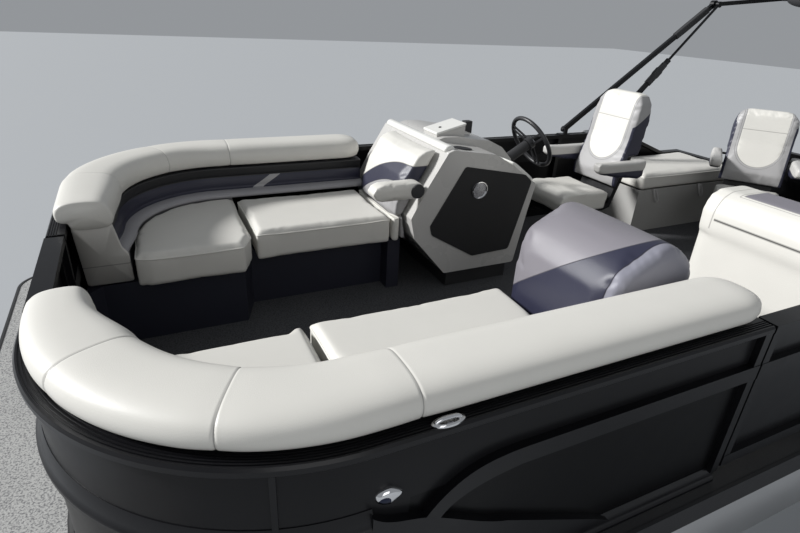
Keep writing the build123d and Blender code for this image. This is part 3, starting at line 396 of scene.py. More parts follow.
def grid_piece(name, grid, finishes, closed_u=False, closed_v=True, band=None, uv=None, sharp=180):
    """A mesh from a grid of points: u is the first index and v the second, with quads between them.
    Open ends in u are closed by a fan to their middle. band gives each v its finish's number."""
    rows, columns = grid.shape[:2]
    vertices = grid.reshape(-1, 3)
    us = np.arange(rows if closed_u else rows - 1)
    vs = np.arange(columns if closed_v else columns - 1)
    u, v = [part.ravel() for part in np.meshgrid(us, vs, indexing="ij")]
    u1, v1 = (u + 1) % rows, (v + 1) % columns
    corners = [u * columns + v, u * columns + v1, u1 * columns + v1, u1 * columns + v]
    faces = np.stack(corners, axis=1).tolist()
    if not closed_u:
        first, last = len(vertices), len(vertices) + 1
        vertices = np.concatenate([vertices, grid[:1].mean(axis=1), grid[-1:].mean(axis=1)])
        turn = np.arange(columns)
        after, base = (turn + 1) % columns, (rows - 1) * columns
        faces += np.stack([turn * 0 + first, after, turn], axis=1).tolist()
        faces += np.stack([turn * 0 + last, base + turn, base + after], axis=1).tolist()
    mesh = bpy.data.meshes.new(name)
    mesh.from_pydata(vertices.tolist(), [], faces)
    dress(mesh, *finishes)
    if band is not None:
        index = np.zeros(len(faces), np.int32)
        index[:len(u)] = np.asarray(band)[v]
        mesh.polygons.foreach_set("material_index", index)
    if uv is not None:
        flat = np.concatenate([uv.reshape(-1, 2), np.zeros((len(vertices) - rows * columns, 2))])
        loops = values(mesh.loops, "vertex_index", 1, np.int32).ravel()
        mesh.uv_layers.new(name="run").data.foreach_set("uv", flat[loops].astype(np.float32).ravel())
    mesh.validate()
    if mesh_volume(mesh) < 0:
        mesh.flip_normals()
    shade_smooth(mesh, sharp)
    return placed(name, mesh)


def values(items, key, width, kind):
    """One value of each of a mesh's items, as an array of rows."""
    found = np.zeros(len(items) * width, kind)
    items.foreach_get(key, found)
    return found.reshape(-1, width)


def mesh_volume(mesh):
    """The signed volume inside a closed mesh: a sixth of the sum of each triangle's triple product."""
    mesh.calc_loop_triangles()
    corners = values(mesh.loop_triangles, "vertices", 3, np.int32)
    a, b, c = values(mesh.vertices, "co", 3, np.float32)[corners].transpose(1, 0, 2)
    return float((a * np.cross(b, c)).sum() / 6)


def fence_line(distance, aft, side):
    """The fence's outer line in plan. From its aft station it runs ahead, turns a quarter circle
    round the bow corner and crosses the front. Gives the points and the inward directions."""
    straight, arc = aft - CORNER, CORNER * pi / 2
    turn = np.clip((distance - straight) / CORNER, 0, pi / 2)
    ahead = np.minimum(distance, straight)
    across = np.maximum(distance - straight - arc, 0)
    x = FENCE_FRONT - aft + ahead + CORNER * np.sin(turn)
    y = FENCE_HALF - CORNER + CORNER * np.cos(turn) - across
    inward = np.stack([-np.sin(turn), -np.cos(turn) * side], axis=1)
    return np.stack([x, y * side], axis=1), inward


def stations_near(length, marks):
    """Distances at even steps, with close ones on both sides of each mark."""
    step, fine, reach = 0.02, 0.0025, 0.02
    steps = [np.arange(0, length, step), [length]]
    steps += [mark + np.arange(-reach, reach + fine, fine) for mark in marks]
    return np.unique(np.round(np.clip(np.concatenate(steps), 0, length), 5))


def groove(distance, marks, depth, width):
    """How far a surface sinks at its seams: a bell curve about each mark."""
    gaps = distance[:, None] - np.asarray(marks, float)[None, :]
    return depth * np.exp(-(gaps / width) ** 2).sum(axis=1) if len(marks) else distance * 0


def end_share(distance, length, reach, depth):
    """How much of the section is left near the ends: a quarter of an ellipse over each end's reach."""
    aft = np.clip(1 - distance / reach[0], 0, 1)
    bow = np.clip(1 - (length - distance) / reach[1], 0, 1)
    return 1 - depth[0] * (1 - np.sqrt(1 - aft ** 2)) - depth[1] * (1 - np.sqrt(1 - bow ** 2))


def seam_line(value, edge, width=0.003):
    """1 on a line where the value meets the edge and 0 away from it."""
    return (1 - abs(value - edge) * (1 / width)).clamped()


def sewn_run(name, colour, marks):
    """Vinyl on a swept piece, with a dark stitched line where the piece's own run meets each mark."""
    finish = marine_vinyl(name, colour)
    tone = finish.tone()
    run = finish.axis("x", finish.node("ShaderNodeUVMap", {}, uv_map="run"))
    lines = sum((seam_line(run, mark, width=0.0022) for mark in marks), start=0.0)
    finish.paint(lines * 0.75, tone, THREAD)
    return finish


# Sections of the back: how far in from the fence's line, and the rise above the deck.
ROLL = [(0.036, 0.650), (0.026, 0.664), (0.024, 0.690), (0.036, 0.716), (0.075, 0.731), (0.140, 0.733),
        (0.205, 0.728), (0.243, 0.703), (0.258, 0.660), (0.250, 0.630), (0.236, 0.618), (0.150, 0.612),
        (0.070, 0.616), (0.068, 0.648)]
LOWER_BACK = [(0.238, 0.614), (0.234, 0.590), (0.228, 0.562), (0.221, 0.555), (0.229, 0.547),
              (0.234, 0.515), (0.230, 0.488), (0.262, 0.485), (0.284, 0.476), (0.292, 0.462),
              (0.288, 0.449), (0.078, 0.447), (0.078, 0.614)]
BACK_FOOT = [(0.249, 0.446), (0.249, 0.306), (0.074, 0.306), (0.074, 0.446)]
BACK_END = [(0.212, 0.626), (0.222, 0.560), (0.230, 0.500), (0.251, 0.462), (0.252, 0.304), (0.071, 0.304),
            (0.071, 0.630)]


def swept_back(name, section, count, aft, y_end, side, finishes, reach, depth, narrowing, marks=(), tops=(),
               only=inf, crisp=0, lean=0.0):
    """A section carried along the fence's line: each point is the line's point, moved in by the
    section's inset and up by its rise, drawn towards the section's middle at seams and ends. Its
    inboard side narrows to the bow end, and below the roll that end leans back by the lean. tops
    are the rises below which each next finish begins. only keeps the given length nearest the bow
    end, and crisp spreads the section over that many points first, which keeps its corners."""
    narrow_run, inner_from, inner_width = 0.35, 0.12, 0.13
    lean_top, lean_height = 0.650, 0.350
    length = aft - CORNER + CORNER * pi / 2 + FENCE_HALF - CORNER - y_end
    distance = stations_near(length, marks)
    distance = distance[distance > length - only]
    line, inward = fence_line(distance, aft, side)
    section = spaced(np.asarray(section, float), crisp) if crisp else section
    outline = spaced(softened(section), count)
    middle = outline.mean(axis=0)
    share = end_share(distance, length, reach, depth)
    share = share - groove(distance, marks, depth=0.026, width=0.0035)
    share = share - groove(distance, marks, depth=0.018, width=0.04)
    local = middle + (outline - middle)[None] * share[:, None, None]
    near_bow = np.clip(1 - (length - distance) / narrow_run, 0, 1)[:, None]
    inner = np.clip((local[:, :, 0] - inner_from) / inner_width, 0, 1)
    local[:, :, 0] -= narrowing * inner * near_bow ** 2 * (3 - 2 * near_bow)
    grid = np.empty((len(distance), count, 3))
    grid[:, :, :2] = line[:, None] + inward[:, None] * local[:, :, :1]
    grid[:, :, 2] = DECK + local[:, :, 1]
    across = FENCE_HALF - CORNER - y_end
    near_end = np.clip(1 - (length - distance) / across, 0, 1)[:, None]
    grid[:, :, 1] += side * lean * near_end * np.clip((lean_top - local[:, :, 1]) / lean_height, 0, 1)
    around = np.linspace(0, 1, count)
    uv = np.stack(np.meshgrid(distance, around, indexing="ij"), axis=-1)
    between = (outline[:, 1] + np.roll(outline[:, 1], -1)) / 2
    band = sum((between < top).astype(int) for top in tops) if tops else None
    return grid_piece(name, grid, finishes, band=band, uv=uv)


def striped_navy():
    """Navy vinyl with one slanting stripe of grey let in across it, near the helm end of the bow."""
    station, slope, rise, half_width = 0.985, 1.6, 0.52, 0.030
    finish = marine_vinyl("striped_navy", NAVY, 0.6)
    tone = finish.tone()
    slant = finish.axis("x") + slope * (finish.axis("z") - DECK - rise)
    stripe = (abs(slant - (FENCE_FRONT - station)) < half_width) * (finish.axis("y") < 0)
    finish.paint(stripe, tone, (0.33, 0.325, 0.33))
    return finish


def seamed_end():
    """Cream vinyl painted a little darker as shade, with one level seam, for the end panel below the roll.
    """
    # The colour is the cream at about nine tenths: painted shade.
    finish = marine_vinyl("shaded_end_vinyl", (0.60, 0.585, 0.55))
    seam = seam_line(finish.axis("z"), DECK + 0.415, width=0.004)
    finish.paint(seam * 0.7, finish.tone(), THREAD)
    return finish


COUCHES = {
    # side: sign, aft stations of the roll and of the part below it, y of the bow end, its lean and
    # the roll's narrowing there, and the roll's seams as distances from its aft end
    "port": (1, 2.005, 1.99, 0.47, 0.06, 0.07, (1.185, 1.625, 2.075)),
    "starboard": (-1, 1.56, 1.56, 0.24, 0.15, 0.03, (0.77, 1.22, 1.84)),
}
back_navy = striped_navy()
shaded_end_vinyl = seamed_end()
for side, (sign, roll_aft, aft, y_end, lean, narrow, marks) in COUCHES.items():
    sewn_cream = sewn_run(f"sewn_cream_{side}", CREAM, marks)
    roll = swept_back(f"couch_roll_{side}", ROLL, 72, roll_aft, y_end, sign, [sewn_cream],
                      reach=(0.11, 0.04), depth=(0.5, 0.10), narrowing=narrow, marks=marks)
    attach(roll, "boat")
    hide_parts(f"couch_back_{side}")
    lower = swept_back(f"couch_lumbar_{side}", LOWER_BACK, 120, aft, y_end, sign,
                       [black_vinyl, back_navy, grey_vinyl], reach=(0.02, 0.02), depth=(0.05, 0.05),
                       narrowing=0.042, tops=(0.554, 0.487), lean=lean)
    foot = swept_back(f"couch_back_foot_{side}", BACK_FOOT, 90, 0.783, y_end, sign, [grey_vinyl],
                      reach=(0.02, 0.02), depth=(0.03, 0.03), narrowing=0, crisp=60, lean=lean)
    end = swept_back(f"couch_back_end_{side}", BACK_END, 110, aft, y_end - 0.002, sign, [shaded_end_vinyl],
                     reach=(0.02, 0.014), depth=(0.0, 0.05), narrowing=narrow - 0.03, only=0.05, crisp=70,
                     lean=lean)
    for part in (lower, foot, end):
        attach(part, "boat")


# ---- The couch seats ----
# Boxed cushions: a foam core, a crowned top panel and straight sides of cream vinyl, with a welt
# sewn round the top edge. The bow ones lie loose on the base and the long ones are lids on hinges.


def coordinates(mesh):
    """The places of a mesh's points as one array."""
    return values(mesh.vertices, "co", 3, np.float32).astype(float)


def evaluated(piece):
    """The piece with its modifiers' effect."""
    return piece.evaluated_get(bpy.context.evaluated_depsgraph_get())


def inflated(source, body, finish, voxel, swell=0.016, start=0.007, sideways=0.45, rests=True, rounds=1,
             name=None):
    """A cushion from a node's solid: drawn in by start, remeshed, then swollen by the cloth
    simulation's pressure. Each point's travel is capped at swell and is less sideways, and points
    low on a resting cushion stay on its base."""
    frames, pressure = 20, 4
    mesh = merged(source)
    piece = placed(f"{name or source}_padded", mesh)
    lowest = coordinates(mesh)[:, 2].min()
    draw_in = piece.modifiers.new("draw_in", "DISPLACE")
    draw_in.strength, draw_in.mid_level = -start, 0
    remesh = piece.modifiers.new("remesh", "REMESH")
    remesh.mode, remesh.voxel_size = "VOXEL", voxel
    ease = piece.modifiers.new("ease", "SMOOTH")
    ease.factor, ease.iterations = 0.5, rounds
    shaped = bpy.data.meshes.new_from_object(evaluated(piece))
    piece.modifiers.clear()
    piece.data = shaped
    still = coordinates(shaped)
    moved = still
    cloth = piece.modifiers.new("cloth", "CLOTH")
    cloth.settings.use_pressure = True
    cloth.settings.uniform_pressure_force = pressure
    cloth.settings.effector_weights.gravity = 0
    for number in range(1, frames + 1):
        scene.frame_set(number)
    moved = coordinates(evaluated(piece).to_mesh())
    piece.modifiers.clear()
    scene.frame_set(1)
    travel = (moved - still) * (sideways, sideways, 1)
    far = np.linalg.norm(travel, axis=1, keepdims=True)
    spots = still + travel * np.minimum(1, swell / np.maximum(far, 1e-6))
    if rests:
        spots[:, 2] = np.maximum(spots[:, 2], lowest + 0.001)
    shaped.vertices.foreach_set("co", spots.astype(np.float32).ravel())
    shaped.update()
    dress(shaped, finish)
    shade_smooth(shaped)
    finer = piece.modifiers.new("finer", "SUBSURF")
    finer.levels = finer.render_levels = 1
    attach(piece, body)
    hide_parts(source)
    return piece


def tube_along(name, path, radius, finish, closed=False, sides=8, up=(0, 0, 1), flat=1.0):
    """A cord along a path: at each point a circle across the path, pressed by the flat factor
    along the third direction, which is square to the path and to its side."""
    path = np.asarray(path, float)
    if closed:
        way = np.roll(path, -1, axis=0) - np.roll(path, 1, axis=0)
    else:
        way = np.gradient(path, axis=0)
    way /= np.linalg.norm(way, axis=1, keepdims=True)
    side = np.cross(way, up)
    side /= np.linalg.norm(side, axis=1, keepdims=True)
    rise = np.cross(side, way)
    turn = np.linspace(0, 2 * pi, sides, endpoint=False)[None, :, None]
    grid = path[:, None] + radius * (np.cos(turn) * side[:, None] + flat * np.sin(turn) * rise[:, None])
    return grid_piece(name, grid, [finish], closed_u=closed)


def top_outlines(name):
    """The outlines of a node's level top faces: the edges that only one such face has, walked round
    into closed lines of points, each from its first edge."""
    work = bmesh.new()
    work.from_mesh(merged(name))
    top = max(vertex.co.z for vertex in work.verts) - 0.0005
    level = {face for face in work.faces if min(vertex.co.z for vertex in face.verts) > top}
    rim = {edge for edge in work.edges if len(level.intersection(edge.link_faces)) == 1}
    outlines = []
    while rim:
        edge = min(rim, key=lambda edge: edge.index)
        rim.remove(edge)
        first, here = edge.verts
        line = [first]
        while here is not first:
            line.append(here)
            edge = next(edge for edge in here.link_edges if edge in rim)
            rim.remove(edge)
            here = edge.other_vert(here)
        outlines.append(np.array([tuple(vertex.co) for vertex in line]))
    work.free()
    return outlines


def welts(name, source, pad, body):
    """Sewn cords round a cushion's top edges: each point of an outline is dropped onto the cushion
    from above and outside, at a slant, and the cord lies half sunk where it lands."""
    count, radius, lift, reach = 220, 0.0045, 0.08, 0.2
    tree = BVHTree.FromObject(pad, bpy.context.evaluated_depsgraph_get())
    for number, outline in enumerate(top_outlines(source)):
        line = spaced(softened(spaced(outline, count), 3), count)
        along = np.roll(line, -1, axis=0) - np.roll(line, 1, axis=0)
        out = np.stack([along[:, 1], -along[:, 0], np.zeros(count)], axis=1)
        out /= np.linalg.norm(out, axis=1, keepdims=True)
        area = (line[:, 0] * np.roll(line[:, 1], -1) - np.roll(line[:, 0], -1) * line[:, 1]).sum()
        slant = (out * np.sign(area) + (0, 0, 1)) / 2 ** 0.5
        hits = [tree.ray_cast(Vector(p), Vector(-d), reach)[0] for p, d in zip(line + lift * slant, slant)]
        path = np.array([tuple(hit) for hit in hits if hit is not None])
        for _ in range(3):
            path = 0.5 * path + 0.25 * np.roll(path, 1, axis=0) + 0.25 * np.roll(path, -1, axis=0)
        cord = tube_along(f"{name}_welt_{number}", path, radius, cream, closed=True)
        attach(cord, body)


for name, body in {"seat_cushion_port": "port_seat_lid", "seat_cushion_starboard": "starboard_seat_lid",
                   "bow_cushions": "boat"}.items():
    welts(name, name, inflated(name, body, cream, 0.012, 0.014, 0.003, 0.25), body)


# ---- The couch bases ----
# Moulded plastic boxes under the cushions, faced with dark navy vinyl on the side to the deck and
# screwed through the deck.

navy_base = marine_vinyl("navy_base", (0.018, 0.019, 0.032), 0.7, 0.5)
smooth_copy("couch_bases", navy_base, "boat")


# ---- The couches' end backrests ----
# Two upholstered wedges across the couches' aft ends. The port one has a grey crown, a navy face and a
# piped grey end; its greys are painted darker as shade, mauve on the crown and bluish on the end. The
# starboard one leans on the console and has a navy arc on its face.


def local_axes(finish, origin, turn=0.0):
    """The object's coordinates seen from a piece's own corner: moved to the origin and turned."""
    moved = finish.node("ShaderNodeMapping", {"Vector": finish.place, "Location": origin,
                                              "Rotation": (0, 0, turn)}, vector_type="TEXTURE")
    return [finish.axis(letter, moved) for letter in "xyz"]


def ramp_step(value, edge, softness=0.0015):
    """0 below an edge and 1 above it, with a narrow even slope between."""
    return ((value - edge) * (0.5 / softness) + 0.5).clamped()


def panelled(name, colour, build):
    """Vinyl sewn from panels: build gives a list of (mask, colour) and a seam mask from the finish."""
    finish = marine_vinyl(name, colour)
    tone = finish.tone()
    panels, seams = build(finish)
    for mask, shade in panels:
        tone = finish.mix(mask, tone, shade)
    finish.paint(seams * 0.6, tone, dimmed(colour, 0.35))
    finish.bump(finish.cells(420.0) * 0.4 - 3.0 * seams, 0.0012, 0.6)
    return finish


def port_rest_panels(finish):
    """Grey vinyl painted darker and mauve as shade over the crown and the slope, a navy wedge that widens
    downwards, and a grey outer end painted darker and bluer as shade.
    """
    slope, wedge_edge, end_seam = 1.25, 0.44, 0.462
    _, y, z = local_axes(finish, at(1.62, 0.45, 0))
    wedge = y + slope * (0.80 - z)
    seams = seam_line(y, end_seam) + seam_line(wedge, wedge_edge)
    # The end's grey is painted darker and bluer, as shade.
    panels = [(ramp_step(wedge, wedge_edge), NAVY), (ramp_step(y, end_seam), (0.22, 0.22, 0.26))]
    return panels, seams.clamped()


# The crown's colour is the grey vinyl painted darker and mauve, as shade.
port_rest_shaded_vinyl = panelled("port_rest_shaded_vinyl", (0.20, 0.19, 0.21), port_rest_panels)
inflated("backrest_port", "boat", port_rest_shaded_vinyl, 0.014, 0.009, 0.006, 0.9, rounds=4)


def starboard_rest_panels(finish):
    """A navy arc under the light top, above a light grey lower panel."""
    low, high = 0.615, 0.71
    _, y, z = local_axes(finish, at(1.48, -0.42, 0))
    arc = z + 0.9 * (y + 0.05) * (y + 0.05)
    below = 1 - ramp_step(arc, low)
    band = ramp_step(arc, low) * (1 - ramp_step(arc, high))
    seams = seam_line(arc, low) + seam_line(arc, high)
    return [(band, NAVY), (below, (0.30, 0.295, 0.30))], seams.clamped()


starboard_rest_vinyl = panelled("starboard_rest_vinyl", CREAM, starboard_rest_panels)
inflated("backrest_starboard", "boat", starboard_rest_vinyl, 0.011, 0.009, 0.006, 0.9, rests=False,
         rounds=3)


# ---- The fold-up armrest ----
# A foam bolster in cream vinyl beside the starboard couch's backrest. It folds up on a steel pin,
# which a dark plastic cap covers.

inflated("couch_armrest", "couch_armrest", cream, 0.007, 0.006, 0.004, 1.0, rests=False, rounds=2)


def turned(name, profile, place, axis, finish, body, count=48, along=1.0):
    """A shape turned on a lathe: (run along the axis, radius) pairs swept round the axis. It is
    stretched by the along factor on the boat's long axis, or as near to it as the turned disc lies."""
    axis = Vector(axis).normalized()
    second = axis.cross(Vector((1, 0, 0)) if abs(axis.x) < 0.9 else Vector((0, 1, 0))).normalized()
    first = second.cross(axis) * along
    a, u, v, origin = [np.array(part) for part in (axis, first, second, Vector(place))]
    turn = np.linspace(0, 2 * pi, count, endpoint=False)[:, None, None]
    run, radius = np.asarray(profile, float).T
    grid = origin + a * run[None, :, None] + radius[None, :, None] * (np.cos(turn) * u + np.sin(turn) * v)
    piece = grid_piece(name, grid, [finish], closed_u=True, closed_v=False, sharp=40)
    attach(piece, body)
    return piece


turned("armrest_cap", [(0, 0.0005), (0.0, 0.034), (0.004, 0.038), (0.010, 0.036), (0.012, 0.0005)],
       at(1.598, -0.3255, 0.613), (0, 1, 0), plastic, "couch_armrest")


# ---- The helm console ----
# A shell of moulded gelcoat, bonded and screwed to a black kick plate, with a glossy rim round its dash,
# a recessed black side panel that carries a round speaker, and a dash box. It is one cream gelcoat: the
# shell's copy is painted darker as shade, and the rim, the dash ledge and the dash box's lid are painted
# lighter as light.


def gelcoat(name, colour, roughness=0.22):
    """Smooth moulded plastic with a deep shine, a faint waviness and a little dirt."""
    finish = Finish(name, colour, roughness, coat=0.5, coat_roughness=0.08)
    clouds = finish.noise(3.0, 4)
    finish.paint(clouds * 0.4, colour, dimmed(colour, 0.85))
    finish.put("Roughness", roughness + 0.12 * clouds)
    finish.bump(finish.noise(28.0, 2), 0.0012, 0.12)
    return finish


def soft_edges(piece, width, segments=3):
    """Rounds the sharp edges of a merged copy."""
    bevel = piece.modifiers.new("round", "BEVEL")
    bevel.width, bevel.segments = width, segments
    bevel.limit_method, bevel.angle_limit = "ANGLE", radians(35)
    bevel.harden_normals = True


# One cream gelcoat in two copies: the shell's copy is painted darker as shade, and the white copy is
# painted lighter as light.
shaded_shell_gelcoat = gelcoat("shaded_gelcoat", (0.50, 0.49, 0.47))
lit_white_gelcoat = gelcoat("lit_gelcoat", (0.74, 0.735, 0.70), 0.16)
black_panel = marine_vinyl("black_panel", (0.010, 0.010, 0.011), 0.8, 0.55)
soft_edges(smooth_copy("console_shell", shaded_shell_gelcoat, "boat", 40), 0.008)
smooth_copy("console_kick_plate", plastic, "boat")
smooth_copy("console_side_panel", black_panel, "boat")
# The dash box's lid takes the white copy of the gelcoat, which is painted light.
soft_edges(smooth_copy("dash_box_lid", lit_white_gelcoat, "dash_lid", 40), 0.004)
chrome = Finish("chrome", (0.72, 0.72, 0.73), 0.08, metallic=1.0)
chrome.put("Roughness", 0.06 + 0.1 * chrome.noise(30.0, 4))
chrome.bump(chrome.noise(60.0, 2), 0.0003, 0.15)
speaker = at(1.989, -0.345, 0.578)
turned("speaker_ring", [(0.0, 0.036), (0.0, 0.047), (0.004, 0.050), (0.009, 0.048), (0.010, 0.043),
                        (0.006, 0.040), (0.0, 0.036)], speaker, (0, 1, 0), chrome, "boat")


def perforated():
    """A pressed grille: a grey plate with close rows of round holes."""
    finish = Finish("perforated_grille", (0.35, 0.35, 0.36), 0.4, metallic=0.6)
    holes = finish.cells(210.0) < 0.32
    finish.paint(holes, (0.42, 0.42, 0.44), (0.02, 0.02, 0.02))
    finish.bump(1 - holes, 0.001, 0.5)
    return finish


turned("speaker_grille", [(0.0, 0.0005), (0.0, 0.041), (0.0035, 0.040), (0.0065, 0.024), (0.008, 0.0005)],
       speaker, (0, 1, 0), perforated(), "boat")


def moulded(name, outline, y0, y1, finish, body, edge):
    """A moulding across the boat: an outline of (station, rise) run from one Y to another. Near
    both ends it is drawn in along a quarter circle, which rounds its end edges."""
    line = spaced(softened(outline), 56)
    middle = line.mean(axis=0)
    turn = np.linspace(0, pi / 2, 6)
    step, shrink = edge * (1 - np.cos(turn)), edge * (1 - np.sin(turn))
    y = np.concatenate([y0 + step, (y1 - step)[::-1]])
    inset = np.concatenate([shrink, shrink[::-1]])[:, None]
    reach = np.linalg.norm(line - middle, axis=1)[None]
    ring = middle + (line - middle)[None] * (1 - inset / np.maximum(reach, 2 * edge))[:, :, None]
    across = y[:, None] + 0 * reach
    grid = np.stack([FENCE_FRONT - ring[..., 0], across, DECK + ring[..., 1]], axis=-1)
    piece = grid_piece(name, grid, [finish], sharp=50)
    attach(piece, body)


# The rim and the dash ledge take the white copy of the gelcoat, which is painted light.
moulded("console_front_rim", [(1.772, 0.782), (1.768, 0.806), (1.786, 0.822), (1.816, 0.822),
                              (1.834, 0.806), (1.836, 0.792)],
        -1.12, -0.378, lit_white_gelcoat, "boat", 0.012)
moulded("console_dash_ledge", [(2.20, 0.700), (2.215, 0.716), (2.29, 0.664), (2.368, 0.606), (2.376, 0.588),
                               (2.30, 0.628)], -0.548, -0.372, lit_white_gelcoat, "boat", 0.010)
turned("console_recess", [(0.0, 0.0005), (0.0005, 0.020), (0.003, 0.026), (0.0045, 0.030), (0.002, 0.034),
                          (-0.004, 0.034)], at(1.905, -0.425, 0.7925), (-0.14, 0, 0.99), plastic, "boat",
       along=1.7)
turned("dash_lock", [(-0.004, 0.008), (0.002, 0.008), (0.003, 0.006), (0.0015, 0.0045), (0.0015, 0.0005)],
       at(1.899, -0.671, 0.8545), (0.24, 0, 0.97), plastic, "dash_lid", 24)


# ---- The wheel and the helm's column ----
# A moulded black grip on a steel ring with three spokes of twin bars, pressed on a splined shaft. The
# column and the mounting box of the controls are plain dark forms.

grip = marine_vinyl("wheel_grip", (0.025, 0.025, 0.027), 0.7, 0.4)
smooth_copy("steering_wheel", grip, "helm_wheel", 50)
smooth_copy("helm_controls", plastic, "boat", 50)
tilt = radians(-60)
wheel_axis = (sin(tilt), 0, cos(tilt))
turned("wheel_cap", [(-0.001, 0.0005), (-0.001, 0.034), (0.003, 0.034), (0.007, 0.026), (0.009, 0.0005)],
       at(2.552, -0.66, 0.742), wheel_axis, chrome, "helm_wheel", 40)


# ---- The helm chairs ----
# Moulded foam backs and seats in panelled vinyl on a black frame that turns on a post, with padded
# armrests on steel pins. Navy panels run up the back's sides.

CHAIRS = {
    # name: the post's foot, the turn at rest, and the rise of the inset's lower rounds and of its seam
    "captain": (at(2.93, -0.66, 0), 0, 0.74, 0.88),
    "co_captain": (at(4.05, -0.14, 0), 36, 0.70, 0.81),
}
satin_black = powder_coat()
smooth_copy("chair_pedestals", satin_black, "boat")
for name, (post, turn, low, middle) in CHAIRS.items():
    def back_panels(finish):
        """A cream inset inside a double seam like a U, grey bolsters round it and navy sides."""
        half_width, drop_depth, side_from = 0.135, 0.13, 0.175
        x, y, z = local_axes(finish, post, radians(turn))
        side = abs(y)
        drop = (low - z) * ((low - z) > 0)
        reach = ((side * (1 / half_width)) ** 2.0 + (drop * (1 / drop_depth)) ** 2.0) ** 0.5
        outside = ramp_step(reach, 1.0, 0.01)
        navy = ramp_step(side, side_from) * (1 - ramp_step(z + 0.8 * x, 0.62))
        level_seam = seam_line(z, middle) * (1 - outside)
        seams = seam_line(reach, 1.0, 0.02) + seam_line(reach, 1.1, 0.014) + level_seam
        return [(outside, (0.34, 0.335, 0.335)), (navy, NAVY)], seams.clamped()

    def arm_panels(finish):
        """Grey-cream over a navy lower half, with a seam between."""
        seam_rise = 0.585
        _, _, z = local_axes(finish, post, radians(turn))
        return [(1 - ramp_step(z, seam_rise), NAVY)], seam_line(z, seam_rise)

    back_vinyl = panelled(f"{name}_back_vinyl", CREAM, back_panels)
    chair = f"{name}_chair"
    smooth_copy(f"{name}_chair_frame", satin_black, chair)
    for part, vinyl, start, rounds in (("seat", cream, 0.006, 3), ("back", back_vinyl, 0.007, 4)):
        inflated(f"{name}_{part}_cushion", chair, vinyl, 0.010, 0.010, start, 0.9, rests=False,
                 rounds=rounds, name=f"{name}_{part}")
    for side in ("port", "starboard"):
        arm_vinyl = panelled(f"{name}_arm_vinyl_{side}", (0.50, 0.49, 0.47), arm_panels)
        inflated(f"{name}_armrest_{side}", f"{name}_arm_{side}", arm_vinyl, 0.007, 0.006, 0.003, 1.0,
                 rests=False, rounds=2)


# ---- The stern lounges ----
# Moulded bases with hinged cushions in cream vinyl. The port one has a raised forward backrest: a
# cream front panel closed by a zip, and a roll with a stitched grey inset.

grey_base = marine_vinyl("grey_base", (0.36, 0.355, 0.34), 0.8, 0.5)
smooth_copy("lounge_bases", grey_base, "boat")
for side in ("port", "starboard"):
    source, body = f"lounge_cushion_{side}", f"{side}_lounge_lid"
    welts(f"lounge_{side}", source, inflated(source, body, cream, 0.014, name=f"lounge_{side}"), body)


webbing = marine_vinyl("webbing", (0.62, 0.61, 0.60), 0.7, 0.7)
# A pull strap is a flat loop of webbing under the cushion's edge. Its points: aft, inboard and rise.
STRAP = [(0, 0, 0.335), (0.004, 0.008, 0.30), (0.030, 0.011, 0.25), (0.046, 0.011, 0.232),
         (0.050, 0.016, 0.25), (0.028, 0.019, 0.29), (0.006, 0.012, 0.335)]
for number, station in enumerate((3.752, 4.246)):
    loop = [at(station + aft, -0.645 + inboard, rise) for aft, inboard, rise in STRAP]
    path = spaced(softened(loop, 3, closed=False), 60, closed=False)
    band = tube_along(f"lounge_strap_{number}", path, 0.0105, webbing, up=(1, 0, 0.3), flat=0.2)
    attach(band, "starboard_lounge_lid")


def lounge_rest_panels(finish):
    """A grey inset along the roll's crown inside two rows of stitches, a piped end and a zip below."""
    half_wide, half_long, crown_rise, row_gap = 0.085, 0.21, 0.72, 0.012
    x, y, z = local_axes(finish, at(2.850, 0.80, 0))
    long, wide = abs(y), abs(x)
    crown = ramp_step(z, crown_rise)
    inset = (1 - ramp_step(wide, half_wide)) * (1 - ramp_step(long, half_long)) * crown
    rows = sum((seam_line(wide, half_wide + gap) * (1 - ramp_step(long, half_long + gap))
                + seam_line(long, half_long + gap) * (1 - ramp_step(wide, half_wide + gap))
                for gap in (0, row_gap)), start=0.0)
    piping = seam_line(y, -0.27, 0.004) * ramp_step(z, 0.60)
    zip_line = seam_line(z, 0.648, 0.008) * ramp_step(x, 0.12) * ramp_step(y, -0.26)
    panels = [(inset, (0.20, 0.19, 0.215)), (zip_line, (0.015, 0.015, 0.015))]
    return panels, (rows * crown + piping).clamped()


lounge_rest_vinyl = panelled("lounge_rest_vinyl", CREAM, lounge_rest_panels)
inflated("lounge_backrest", "boat", lounge_rest_vinyl, 0.016, 0.010, 0.006, 0.9, rounds=3)


# ---- The folding top ----
# Square aluminium arms, powder coated black, on brackets with clevis pins. The canopy is rolled up
# in a canvas boot round the aft bow and zipped shut.

for part, body in {"frame": "folding_top", "strut_tubes": "top_struts", "strut_rods": "top_strut_rods",
                   "feet": "boat"}.items():
    smooth_copy(f"bimini_{part}", coat, body)


def along_arm(name, start, end, sections, y, finish, body):
    """A square sleeve along an arm in side view: (share of the way, half height, half width)
    sections between two points given as (station, rise)."""
    start, end = [np.array([FENCE_FRONT - station, DECK + rise]) for station, rise in (start, end)]
    way = (end - start) / np.linalg.norm(end - start)
    across = np.array([-way[1], way[0]])
    corners = np.array([(1, 0.8), (0.8, 1), (-0.8, 1), (-1, 0.8),
                        (-1, -0.8), (-0.8, -1), (0.8, -1), (1, -0.8)])
    rings = []
    for share, high, wide in sections:
        spot = start + (end - start) * share + across * corners[:, :1] * high
        rings.append(np.stack([spot[:, 0], y + corners[:, 1] * wide, spot[:, 1]], axis=1))
    piece = grid_piece(name, np.array(rings), [finish], sharp=30)
    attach(piece, body)


